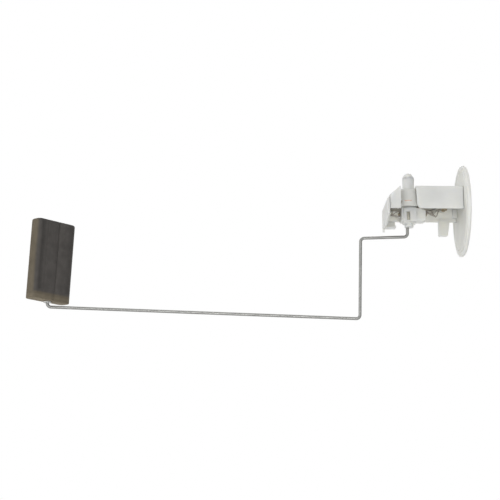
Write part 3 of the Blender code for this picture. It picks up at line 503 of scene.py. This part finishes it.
def foam_finish(settings):
    """Foam rubber: a dark moulded skin that gives way to bare brown foam, with painted shade and painted
    light on the same scale, pores and drag marks.
    """
    finish, shader, place = new_finish("float_rubber", 0.82)
    blotches = speckle(finish, place, 0.006, 0.0, 1.0, detail=4.0)
    skin = clouded(finish, blotches, settings.skin_colour, 0.86, 1.14)
    foam = clouded(finish, blotches, settings.edge_colour, 0.90, 1.12)

    bareness_and_light = add_node(finish, "Attribute", attribute_name="foam_bareness_and_light").outputs["Fac"]
    drags = stretched_noise(finish, place, scale=(900.0, 900.0, 45.0), detail=3.0)
    drag_reach = 0.34
    ragged = combine(finish, "MULTIPLY_ADD", drags, drag_reach, -drag_reach / 2)
    ragged_edge = combine(finish, "ADD", bareness_and_light, ragged)
    bare_share = ramp(finish, ragged_edge, from_low=0.12, from_high=0.88, interpolation_type="SMOOTHSTEP")
    shade = colour_mix(finish, bare_share, skin, foam)

    # Painted shade: values under 0 darken the colour. Painted light: values over 1 brighten it.
    painted_shade_tone = ramp(finish, bareness_and_light, from_low=DEEPEST_SHADE, from_high=0.0, to_low=0.5, to_high=1.0)
    painted_light_tone = ramp(finish, bareness_and_light, from_low=1.0, from_high=LIT_CUT_FOAM, to_low=1.0, to_high=1.95)
    tone = combine(finish, "MULTIPLY", painted_shade_tone, painted_light_tone)
    toned = add_node(finish, "VectorMath", links={0: shade, 3: tone}, operation="SCALE")
    join_sockets(finish, toned.outputs["Vector"], shader.inputs["Base Color"])

    pores_per_metre = 1.0 / settings.pore_size
    cells = add_node(
        finish, "TexVoronoi", {"Scale": pores_per_metre}, {"Vector": place}, feature="DISTANCE_TO_EDGE"
    )
    walls = ramp(finish, cells.outputs["Distance"], from_low=0.0, from_high=0.22)
    crumbs = speckle(finish, place, settings.pore_size * 0.4, low=0.0, high=0.6)
    grit = combine(finish, "ADD", walls, crumbs)
    join_sockets(finish, speckle(finish, place, 0.0015, low=0.74, high=0.90), shader.inputs["Roughness"])
    shader.inputs["Specular IOR Level"].default_value = 0.3
    relief(finish, shader, grit, depth=0.00004, strength=0.5)
    return finish


def dress(names, finish):
    """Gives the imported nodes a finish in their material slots."""
    for name in names:
        part = frame["nodes"][name]
        if not part.material_slots:
            part.data.materials.append(finish)
        for place in part.material_slots:
            place.material = finish


def soften_edges(names, radius):
    """Rounds the outside edges that the mould would round."""
    for name in names:
        part = frame["nodes"][name]
        weld = part.modifiers.new("join_facets", "WELD")
        weld.merge_threshold = FACET_JOIN
        bevel = part.modifiers.new("edge_round", "BEVEL")
        bevel.width = radius
        bevel.segments = 2
        bevel.limit_method = "ANGLE"
        bevel.angle_limit = ROUNDED_FROM
        bevel.use_clamp_overlap = True
        bevel.harden_normals = True


def new_piece(name, work, finish, sharp_angle=40):
    """Makes a smooth shaded object from a bmesh, with sharp edges from that angle in degrees."""
    mesh = bpy.data.meshes.new(name)
    work.to_mesh(mesh)
    work.free()
    mesh.materials.append(finish)
    mesh.shade_smooth()
    mesh.set_sharp_from_angle(angle=math.radians(sharp_angle))
    made = bpy.data.objects.new(name, mesh)
    bpy.context.scene.collection.objects.link(made)
    return made


def joint_named(name):
    for joint in frame["joints"]:
        if joint["name"] == name:
            return joint
    raise RuntimeError(f"the frame has no joint {name}")


def arm_pivot():
    return Vector(joint_named("arm_swing")["pos_m"])


def skin_over(work, rows, capped=True):
    """Faces between neighbouring rows of points, closed at both ends where it is capped."""
    for lower, upper in zip(rows, rows[1:]):
        for i in range(len(lower)):
            j = (i + 1) % len(lower)
            work.faces.new((lower[i], lower[j], upper[j], upper[i]))
    if capped:
        work.faces.new(rows[0])
        work.faces.new(rows[-1])


def face_outwards(work):
    bmesh.ops.recalc_face_normals(work, faces=work.faces)


def turned(profile, centre, start, end, steps):
    """Turns a closed profile of (radius, height) from angle to angle round the centre's upright line."""
    work = bmesh.new()
    rows = []
    for step in range(steps + 1):
        angle = start + (end - start) * step / steps
        way = Vector((math.cos(angle), math.sin(angle)))
        rows.append([work.verts.new((centre.x + way.x * r, centre.y + way.y * r, z)) for r, z in profile])
    full_turn = math.isclose(end - start, math.tau)
    skin_over(work, rows, capped=not full_turn)
    bmesh.ops.remove_doubles(work, verts=work.verts, dist=POINT_JOIN)
    face_outwards(work)
    return work


def arc_edges(centre, radius, width, start, end, steps):
    """Pairs of points along the inner and the outer edge of a ring sector."""
    pairs = []
    for step in range(steps + 1):
        angle = start + (end - start) * step / steps
        way = Vector((math.cos(angle), math.sin(angle)))
        pairs.append([centre + way * (radius + reach * width) for reach in (-0.5, 0.5)])
    return pairs


def line_edges(points, width):
    """Pairs of points to both sides of level points."""
    pairs = []
    for index, point in enumerate(points):
        run = (points[min(index + 1, len(points) - 1)] - points[max(index - 1, 0)]).normalized()
        side = Vector((-run.y, run.x)) * width / 2
        pairs.append([point - side, point + side])
    return pairs


def flat_band(work, pairs, low, high):
    """A flat strip with thickness between two edges, given as pairs of points."""
    rows = []
    for left, right in pairs:
        corners = ((*left, low), (*right, low), (*right, high), (*left, high))
        rows.append([work.verts.new(corner) for corner in corners])
    skin_over(work, rows)


def bent_path(corners, radius, steps):
    """Straight runs between the corners, with an arc at each inner corner."""
    points = [corners[0]]
    for before, corner, after in zip(corners, corners[1:], corners[2:]):
        into = (corner - before).normalized()
        away = (after - corner).normalized()
        turn = into.angle(away)
        start = corner - into * radius * math.tan(turn / 2)
        inward = (away - into * into.dot(away)).normalized()
        for step in range(steps + 1):
            angle = turn * step / steps
            points.append(start + inward * radius * (1 - math.cos(angle)) + into * radius * math.sin(angle))
    points.append(corners[-1])
    return points


def tube(path, radius, sides, map_name):
    """Sweeps a round section along the path, with a map of the length run and the turn round the wire."""
    map_units_per_metre = 100.0
    work = bmesh.new()
    layer = work.loops.layers.uv.new(map_name)
    across = Vector((0.0, 1.0, 0.0))
    turns = [math.tau * side / sides for side in range(sides)]
    rings = []
    runs = [0.0]
    for index, point in enumerate(path):
        before = path[max(index - 1, 0)]
        after = path[min(index + 1, len(path) - 1)]
        up = (after - before).normalized().cross(across)
        if index:
            runs.append(runs[-1] + (point - before).length)
        spokes = [(across * math.cos(turn) + up * math.sin(turn)) * radius for turn in turns]
        rings.append([work.verts.new(point + spoke) for spoke in spokes])
    for index, (lower, upper) in enumerate(zip(rings, rings[1:])):
        for side in range(sides):
            following = (side + 1) % sides
            face = work.faces.new((lower[side], lower[following], upper[following], upper[side]))
            marks = ((index, side), (index, side + 1), (index + 1, side + 1), (index + 1, side))
            for loop, (row, column) in zip(face.loops, marks):
                loop[layer].uv = (runs[row] * map_units_per_metre, column / sides)
    work.faces.new(rings[0])
    work.faces.new(rings[-1])
    face_outwards(work)
    return work


def float_seat():
    """The float's place on its rod, and its low and high corners there, from its solid."""
    joint = joint_named("float_spin")
    lean = Vector(joint["axis"]).to_track_quat("Z", "Y").to_matrix().to_4x4()
    upright = Matrix.Translation(Vector(joint["pos_m"])) @ lean
    back = upright.inverted()
    points = [back @ vertex.co for vertex in frame["nodes"]["float"].data.vertices]
    spread_x = sum(p.x * p.x for p in points)
    spread_y = sum(p.y * p.y for p in points)
    spread_xy = sum(p.x * p.y for p in points)
    turn = 0.5 * math.atan2(2 * spread_xy, spread_x - spread_y)
    unturn = Matrix.Rotation(-turn, 4, "Z")
    flat = [unturn @ p for p in points]
    low = Vector(min(p[i] for p in flat) for i in range(3))
    high = Vector(max(p[i] for p in flat) for i in range(3))
    return upright @ Matrix.Rotation(turn, 4, "Z"), low, high


def float_corner(x_sign, y_sign, width, depth, radius):
    """One rounded corner of the float's section, from the broad face to the narrow side, from painted shade
    to bare foam with painted light.
    """
    points = []
    for step in range(1, CORNER_STEPS):
        share = step / CORNER_STEPS
        angle = math.pi / 2 * share
        x = x_sign * (width - radius + radius * math.sin(angle))
        y = y_sign * (depth - radius + radius * math.cos(angle))
        points.append((x, y, min(1.0, CORNER_TONE_RATE * share + CORNER_SHADE_START)))
    return points


def float_outline(half_width, half_depth, radius, inset, lines, line_width):
    """One level of the float: its points, each with how bare it is, painted light and shade included, with
    sunk lines on the broad faces.
    """
    width = half_width - inset
    depth = half_depth - inset
    corner = max(radius - inset, radius * LEAST_CORNER)
    # Painted shade strips beside the corners.
    face = [(-width + corner + distance, 0.0, bare) for distance, bare in LEFT_CORNER_SHADE]
    face.append((width - corner, 0.0, RIGHT_CORNER_SHADE))
    face += [(width * share, 0.0, 0.0) for share in PLAIN_PLACES]
    for place, line_depth in lines:
        # Painted shade in the mould line, in step with its depth.
        tone = GROOVE_SHADE * min(1.0, line_depth / DARK_GROOVE_DEPTH)
        face += [(place + offset * line_width, line_depth * share, tone * share) for offset, share in GROOVE]
    ring = []
    for side in (-1, 1):
        face.sort(key=lambda point: point[0], reverse=side > 0)
        ring += [(x, side * (depth - sunk), bare) for x, sunk, bare in face]
        end = -side
        ring += float_corner(end, side, width, depth, corner)
        # The narrow sides: bare foam with painted light.
        ring += [(end * width, side * (depth - corner) * share, 1.0) for share in SIDE_PLACES]
        ring += reversed(float_corner(end, -side, width, depth, corner))
    return ring


def float_levels(low, high, foot_radius, head_radius, band):
    """Heights up the float, each with how far it is drawn in and how bare it is, painted light at the lower
    end included.
    """
    turns = [math.pi / 2 * step / END_STEPS for step in range(END_STEPS + 1)]
    levels = []
    for turn in reversed(turns):
        # Painted light on the round of the lower end, growing towards the underside.
        bare = FOOT_TONE + FOOT_GAIN * turn
        levels.append((low + foot_radius * (1 - math.sin(turn)), foot_radius * (1 - math.cos(turn)), bare))
    levels += [(low + band * share, 0.0, bare) for share, bare in BAND_FADE]
    levels += [(low + (high - low) * share, 0.0, DEEPEST_SHADE) for share in MIDDLE_LEVELS]
    for turn in turns:
        levels.append((high - head_radius * (1 - math.sin(turn)), head_radius * (1 - math.cos(turn)), DEEPEST_SHADE))
    return levels


class SENDER_OT_mouldings(bpy.types.Operator):
    """Gives the acetal mouldings their finish and soft edges, and adds the cap and the thin shroud"""

    bl_idname = "sender.mouldings"
    bl_label = "Mouldings"

    def execute(self, context):
        settings = context.scene.sender_moulding
        finish = acetal_finish("natural_acetal", settings, settings.milkiness)
        dress(MOULDED, finish)
        soften_edges(EDGES_ROUNDED, settings.edge_radius)
        sleeve_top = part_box("housing")[1][2]
        self.shroud(settings, sleeve_top)
        self.clip(settings)
        self.dome(finish, sleeve_top)
        return {"FINISHED"}

    def shroud(self, settings, sleeve_top):
        """The thin curved shroud in front of the bearing sleeve, with its lower left corner cut up."""
        root = settings.shroud_root
        outer = settings.shroud_radius
        inner = outer - settings.shroud_wall
        top = sleeve_top - settings.shroud_drop
        under = top - settings.shroud_wall
        foot = settings.shroud_foot
        soft = settings.shroud_wall * SHROUD_SOFT
        middle = soft * ROUND_MIDDLE
        profile = (
            (root, top), (outer - soft, top), (outer - middle, top - middle), (outer, top - soft),
            (outer, foot + middle), (outer - middle, foot), (inner, foot), (inner, under), (root, under),
        )
        pivot = arm_pivot()
        front = -math.pi / 2
        left = front - settings.shroud_left
        work = turned(profile, pivot, left, front + settings.shroud_right, SHROUD_STEPS)
        for vertex in work.verts:
            way = vertex.co - pivot
            at_left = math.atan2(way.y, way.x) < left + settings.notch_reach
            if at_left and way.z < foot + settings.shroud_wall:
                vertex.co.z += settings.notch_height
        # Painted light: a lighter copy of the acetal for the shaded shroud.
        finish = acetal_finish("lit_acetal_copy", settings, settings.lit_shroud_milkiness)
        made = new_piece("spindle_shroud", work, finish)
        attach(made, "sender")

    def clip(self, settings):
        """The bronze clip that sits on the shroud."""
        outer = settings.shroud_radius
        lip = settings.shroud_wall * CLIP_LIP
        low = settings.clip_height
        high = low + settings.clip_width
        strip = ((outer, low), (outer + lip, low + lip), (outer + lip, high), (outer, high + lip))
        front = -math.pi / 2
        work = turned(strip, arm_pivot(), front - settings.clip_left, front + settings.clip_right, CLIP_STEPS)
        bronze = metal_finish("clip_bronze", settings.clip_colour, roughness=0.5, grain_size=0.0002)
        made = new_piece("bronze_clip", work, bronze)
        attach(made, "sender")

    def dome(self, finish, sleeve_top):
        """The smooth cap that closes the sleeve."""
        low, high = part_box("spindle_cap")
        radius = (high[0] - low[0]) / 2
        centre = Vector(((high[0] + low[0]) / 2, (high[1] + low[1]) / 2))
        height = high[2] - sleeve_top
        profile = [(radius * r, sleeve_top + height * z) for r, z in DOME_CURVE]
        profile += [(radius, sleeve_top), (0.0, sleeve_top)]
        made = new_piece("spindle_dome", turned(profile, centre, 0.0, math.tau, DOME_STEPS), finish, 60)
        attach(made, "sender")
        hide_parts("spindle_cap")


class SENDER_OT_contacts(bpy.types.Operator):
    """Gives springs, buttons, rivets, terminals, washer and cap nut their metals, and adds backing leaves"""

    bl_idname = "sender.contacts"
    bl_label = "Contacts and terminals"

    def execute(self, context):
        settings = context.scene.sender_contacts
        spring = metal_finish("contact_spring", settings.spring_colour, roughness=0.45, grain_size=0.0002)
        button = metal_finish("contact_button", settings.button_colour, 0.3, grain_size=0.0001, tarnish=0.08)
        rivet = metal_finish("rivet_brass", settings.rivet_colour, roughness=0.4, grain_size=0.0001)
        terminal = metal_finish("terminal_brass", settings.terminal_colour, roughness=0.36, grain_size=0.0002)
        washer = metal_finish("washer_bronze", settings.washer_colour, roughness=0.45, grain_size=0.0002)
        nut = metal_finish("clamp_steel", settings.nut_colour, roughness=0.36, grain_size=0.0002)
        dress(SPRINGS, spring)
        dress(BUTTONS, button)
        dress(RIVETS, rivet)
        dress(TERMINALS, terminal)
        dress(("thrust_washer",), washer)
        dress(("float_cap_nut",), nut)
        for name, points in BACKING_LEAVES.items():
            self.backing_leaf(name, points, settings, spring)
        return {"FINISHED"}

    def backing_leaf(self, name, points, settings, finish):
        """A thin leaf that backs up a spring."""
        pivot = arm_pivot()
        path = [pivot + Vector((x, 0.0, z)) * MM for x, z in points]
        side = Vector((0.0, settings.leaf_width / 2, 0.0))
        work = bmesh.new()
        rows = []
        for index, point in enumerate(path):
            run = path[min(index + 1, len(path) - 1)] - path[max(index - 1, 0)]
            skin = Vector((-run.z, 0.0, run.x)).normalized() * settings.leaf_thickness / 2
            corners = (point - skin - side, point + skin - side, point + skin + side, point - skin + side)
            rows.append([work.verts.new(corner) for corner in corners])
        skin_over(work, rows)
        face_outwards(work)
        made = new_piece(name, work, finish)
        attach(made, "arm")


class SENDER_OT_card(bpy.types.Operator):
    """Gives the resistor card its ceramic and prints its paths on the underside"""

    bl_idname = "sender.card"
    bl_label = "Resistor card"

    def execute(self, context):
        settings = context.scene.sender_card
        dress(("resistor_card",), ceramic_finish(settings))
        silver = ink_finish("silver_print", settings.silver_colour, roughness=0.38, metallic=0.8)
        resistor = ink_finish("resistor_print", settings.ink_colour, roughness=0.5, metallic=0.0)
        self.contact_bars(settings, silver)
        self.resistor_path(settings, resistor)
        self.conductors(settings, silver)
        return {"FINISHED"}

    def printed(self, name, work, finish):
        """A print on the card's underside, which stays with the sender."""
        face_outwards(work)
        made = new_piece(name, work, finish)
        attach(made, "sender")

    def contact_bars(self, settings, silver):
        """The silver bars that the wiper crosses."""
        pivot = arm_pivot().xy
        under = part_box("resistor_card")[0][2]
        sweep = settings.sweep
        work = bmesh.new()
        for number in range(settings.segment_count):
            angle = -sweep + 2 * sweep * number / (settings.segment_count - 1)
            way = Vector((math.cos(angle), math.sin(angle)))
            reaches = (-settings.bar_inner, settings.bar_outer)
            ends = [pivot + way * (settings.wiper_radius + reach) for reach in reaches]
            flat_band(work, line_edges(ends, settings.bar_width), under - settings.ink_thickness, under)
        self.printed("contact_bars", work, silver)

    def resistor_path(self, settings, ink):
        """The resistor, printed over the inner ends of the bars."""
        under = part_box("resistor_card")[0][2]
        high, low = [under - settings.ink_thickness * share for share in RESISTOR_LAYER]
        radius = settings.wiper_radius - settings.resistor_inset
        sweep = settings.sweep
        work = bmesh.new()
        edges = arc_edges(arm_pivot().xy, radius, settings.resistor_width, -sweep, sweep, RESISTOR_STEPS)
        flat_band(work, edges, low, high)
        self.printed("resistor_path", work, ink)

    def conductors(self, settings, silver):
        """The ground contact's path, the three pads and the leads that run to two of them."""
        pivot = arm_pivot().xy
        card_low, card_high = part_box("resistor_card")
        under = card_low[2]
        low = under - settings.ink_thickness
        lead_high, lead_low = [under - settings.ink_thickness * share for share in LEAD_LAYER]
        pad_x = card_high[0] - settings.pad_margin
        work = bmesh.new()

        start, end = [math.pi + settings.sweep * share for share in (-GROUND_SWEEP, GROUND_SWEEP)]
        edges = arc_edges(pivot, settings.ground_radius, settings.ground_width, start, end, GROUND_STEPS)
        flat_band(work, edges, low, under)

        rear = card_high[1] - settings.lead_margin
        foot = pivot + Vector(GROUND_LEAD_START) * settings.ground_radius
        ground_lead = [
            foot,
            Vector((foot.x + GROUND_LEAD_CORNER, rear)),
            Vector((pad_x - GROUND_LEAD_CORNER, rear)),
            Vector((pad_x, settings.pad_pitch * LEAD_END)),
        ]
        way = Vector((math.cos(-settings.sweep), math.sin(-settings.sweep)))
        foot = pivot + way * (settings.wiper_radius - settings.resistor_inset)
        wiper_lead = [
            foot,
            Vector((pad_x - WIPER_LEAD_CORNER, foot.y)),
            Vector((pad_x, -settings.pad_pitch * LEAD_END)),
        ]
        for lead in (ground_lead, wiper_lead):
            flat_band(work, line_edges(lead, settings.lead_width), lead_low, lead_high)

        for row in (-settings.pad_pitch, 0.0, settings.pad_pitch):
            pad = [Vector((pad_x + end, row)) for end in PAD_ENDS]
            flat_band(work, line_edges(pad, settings.pad_width), low, under)
        self.printed("conductor_print", work, silver)


class SENDER_OT_wire(bpy.types.Operator):
    """Builds the arm's drawn steel wire and its flattened tail"""

    bl_idname = "sender.wire"
    bl_label = "Arm wire"

    def execute(self, context):
        settings = context.scene.sender_wire
        pivot = arm_pivot()
        self.wire(pivot, settings)
        self.tail(pivot, settings)
        return {"FINISHED"}

    def wire(self, pivot, settings):
        """The round wire from the rotor to the tip of the float's rod."""
        spin = joint_named("float_spin")
        rod_foot = Vector(spin["pos_m"])
        lean = Vector(spin["axis"]).normalized()
        near_rod = rod_foot.x + 4 * settings.diameter
        points = [vertex.co for vertex in frame["nodes"]["wire_arm"].data.vertices]
        reach = max(lean.dot(point - rod_foot) for point in points if point.x < near_rod)
        head = pivot + Vector(settings.leg_bend)
        head.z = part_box("wire_arm")[1][2]
        bends = (settings.leg_bend, settings.drop_bend, settings.elbow)
        corners = [head] + [pivot + Vector(bend) for bend in bends]
        corners += [rod_foot, rod_foot + lean * (reach - settings.tip_trim)]
        path = bent_path(corners, settings.bend_radius, BEND_STEPS)
        work = tube(path, settings.diameter / 2, WIRE_SIDES, "wire_map")
        made = new_piece("arm_wire", work, wire_finish(settings))
        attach(made, "arm")
        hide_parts("wire_arm")

    def tail(self, pivot, settings):
        """The wire's flattened tail, which stands in the clamp's window."""
        clamp_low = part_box("wire_clamp")[0]
        half = settings.flat_width / 2
        depth = settings.flat_width * TAIL_CROWN
        centre = pivot.x + settings.leg_bend[0]
        front = clamp_low[1] + settings.flat_setback
        bottom = clamp_low[2] + settings.flat_sill
        work = bmesh.new()
        rows = []
        for height, share in TAIL_LEVELS:
            level = bottom + settings.flat_height * height
            back = front + depth * (1 - share)
            points = [(centre + half * x * share, back + depth * y, level) for x, y in TAIL_SECTION]
            rows.append([work.verts.new(point) for point in points])
        skin_over(work, rows)
        face_outwards(work)
        # Painted light: a lighter copy of the wire's steel in the shaded clamp window.
        finish = metal_finish("lit_flattened_wire", settings.lit_tail_colour, roughness=0.5, grain_size=0.0002)
        made = new_piece("wire_tail", work, finish)
        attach(made, "arm")


class SENDER_OT_float(bpy.types.Operator):
    """Builds the foam rubber float round its rod"""

    bl_idname = "sender.float"
    bl_label = "Float"

    def execute(self, context):
        settings = context.scene.sender_float
        seat, low, high = float_seat()
        half_width = (high.x - low.x) / 2
        half_depth = (high.y - low.y) / 2
        lines = (
            (settings.line_place, settings.line_depth),
            (settings.faint_line_place, settings.line_depth * FAINT_SHARE),
        )
        levels = float_levels(low.z, high.z, settings.foot_radius, settings.end_radius, settings.band_height)
        work = bmesh.new()
        layer = work.verts.layers.float.new("foam_bareness_and_light")
        rings = []
        for z, inset, level_bare in levels:
            ring = []
            outline = float_outline(
                half_width, half_depth, settings.side_radius, inset, lines, settings.line_width
            )
            for x, y, bare in outline:
                vertex = work.verts.new(seat @ Vector((x, y, z)))
                vertex[layer] = max(bare, level_bare)
                ring.append(vertex)
            rings.append(ring)
        skin_over(work, rings, capped=False)
        # The cut lower end gets the brightest painted light, and the rim of the upper end gets painted shade.
        for ring, bare in ((rings[0], LIT_CUT_FOAM), (rings[-1], UPPER_END_SHADE)):
            for vertex in ring:
                vertex[layer] = bare
        work.faces.new(rings[0])
        self.recess(work, layer, rings[-1], seat, high.z, settings)
        face_outwards(work)
        made = new_piece("float_foam", work, foam_finish(settings), 60)
        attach(made, "float")
        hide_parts("float")
        return {"FINISHED"}

    def recess(self, work, layer, rim, seat, top, settings):
        """Closes the float's upper end, with the round recess in which the cap nut sits."""
        turns = [math.tau * step / RECESS_STEPS for step in range(RECESS_STEPS)]
        hoops = []
        for radius, z in (
            (settings.recess_radius + RECESS_LIP, top),
            (settings.recess_radius, top - RECESS_LIP),
            (settings.recess_radius, top - settings.recess_depth),
        ):
            points = [Vector((radius * math.cos(turn), radius * math.sin(turn), z)) for turn in turns]
            hoop = [work.verts.new(seat @ point) for point in points]
            # Painted shade in the recess.
            for vertex in hoop:
                vertex[layer] = RECESS_SHADE
            hoops.append(hoop)
        skin_over(work, hoops, capped=False)
        work.faces.new(hoops[-1])
        edges = [work.edges.get((loop[i - 1], loop[i])) for loop in (rim, hoops[0]) for i in range(len(loop))]
        bmesh.ops.triangle_fill(work, edges=edges, use_beauty=True)


def seen_directly(owner):
    """1 where the camera, a reflection or a clear piece sees the surface, else 0."""
    path = add_node(owner, "LightPath").outputs
    seen = combine(owner, "MAXIMUM", path["Is Camera Ray"], path["Is Glossy Ray"])
    return combine(owner, "MAXIMUM", seen, path["Is Transmission Ray"])


class SENDER_OT_stage(bpy.types.Operator):
    """Sets the pale floor, the soft light and the camera"""

    bl_idname = "sender.stage"
    bl_label = "Stage"

    def execute(self, context):
        settings = context.scene.sender_stage
        scene = context.scene
        scene.world = self.studio(settings)
        self.floor(settings)
        for name, (place, size, watts) in LAMPS.items():
            self.lamp(scene, name, Vector(place), size, watts)
        scene.camera = self.camera(scene, settings)
        scene.view_settings.view_transform = "Standard"
        return {"FINISHED"}

    def studio(self, settings):
        """A world that is white where it is seen and lights the object evenly."""
        world = bpy.data.worlds.new("studio")
        world.use_nodes = True
        room = world.node_tree.nodes["Background"]
        room.inputs["Color"].default_value = WHITE
        room.inputs["Strength"].default_value = settings.room_light
        white = add_node(world, "Background", {"Color": WHITE, "Strength": 1.0})
        shaders = {0: seen_directly(world), 1: room.outputs[0], 2: white.outputs[0]}
        choose = add_node(world, "MixShader", links=shaders)
        join_sockets(world, choose.outputs[0], world.node_tree.nodes["World Output"].inputs[0])
        return world

    def floor(self, settings):
        """A wide pale floor, seen as white, that keeps the object's shadow."""
        finish, shader, place = new_finish("pale_floor", 0.9)
        clouds = speckle(finish, place, 0.2, 0.0, 1.0)
        tone = colour_mix(finish, clouds, (0.80, 0.80, 0.80, 1.0), (0.82, 0.82, 0.82, 1.0))
        join_sockets(finish, tone, shader.inputs["Base Color"])
        shader.inputs["Emission Color"].default_value = WHITE
        glow = combine(finish, "MULTIPLY", seen_directly(finish), settings.floor_glow)
        join_sockets(finish, glow, shader.inputs["Emission Strength"])
        work = bmesh.new()
        bmesh.ops.create_grid(work, x_segments=8, y_segments=8, size=4.0)
        floor = new_piece("floor", work, finish)
        floor.location = (0.0, 0.0, settings.floor_height)

    def lamp(self, scene, name, place, size, watts):
        """A square lamp that points at the object and isn't seen itself."""
        light = bpy.data.lights.new(name, "AREA")
        light.shape = "SQUARE"
        light.size = size
        light.energy = watts
        made = bpy.data.objects.new(name, light)
        made.location = place
        made.rotation_euler = (Vector(LIT_POINT) - place).to_track_quat("-Z", "Y").to_euler()
        made.visible_camera = False
        scene.collection.objects.link(made)

    def camera(self, scene, settings):
        lens = bpy.data.cameras.new("camera")
        lens.lens = settings.lens
        lens.sensor_width = 36.0
        lens.clip_start = 0.01
        lens.clip_end = 20.0
        made = bpy.data.objects.new("camera", lens)
        scene.collection.objects.link(made)
        flat = math.cos(settings.elevation)
        x = math.sin(settings.azimuth) * flat
        y = -math.cos(settings.azimuth) * flat
        back = Vector((x, y, math.sin(settings.elevation)))
        made.location = Vector(settings.target) + back * settings.distance
        made.rotation_euler = (-back).to_track_quat("-Z", "Y").to_euler()
        return made


class SENDER_PT_panel(bpy.types.Panel):
    """Lists the sender's pieces and their settings"""

    bl_idname = "SENDER_PT_panel"
    bl_label = "Fuel level sender"
    bl_space_type = "VIEW_3D"
    bl_region_type = "UI"
    bl_category = "Sender"

    def draw(self, context):
        for operator, name, group in PIECES:
            box = self.layout.box()
            box.operator(operator.bl_idname)
            settings = getattr(context.scene, name)
            for setting in group.__annotations__:
                box.prop(settings, setting)


PIECES = (
    (SENDER_OT_stage, "sender_stage", StageSettings),
    (SENDER_OT_mouldings, "sender_moulding", MouldingSettings),
    (SENDER_OT_contacts, "sender_contacts", ContactSettings),
    (SENDER_OT_card, "sender_card", CardSettings),
    (SENDER_OT_wire, "sender_wire", WireSettings),
    (SENDER_OT_float, "sender_float", FloatSettings),
)


def register():
    for operator, name, group in PIECES:
        bpy.utils.register_class(group)
        setattr(bpy.types.Scene, name, PointerProperty(type=group))
        bpy.utils.register_class(operator)
    bpy.utils.register_class(SENDER_PT_panel)


def unregister():
    bpy.utils.unregister_class(SENDER_PT_panel)
    for operator, name, group in reversed(PIECES):
        bpy.utils.unregister_class(operator)
        delattr(bpy.types.Scene, name)
        bpy.utils.unregister_class(group)


def main():
    register()
    bpy.ops.sender.stage()
    bpy.ops.sender.mouldings()
    bpy.ops.sender.contacts()
    bpy.ops.sender.card()
    bpy.ops.sender.wire()
    bpy.ops.sender.float()


if __name__ == "__main__":
    main()
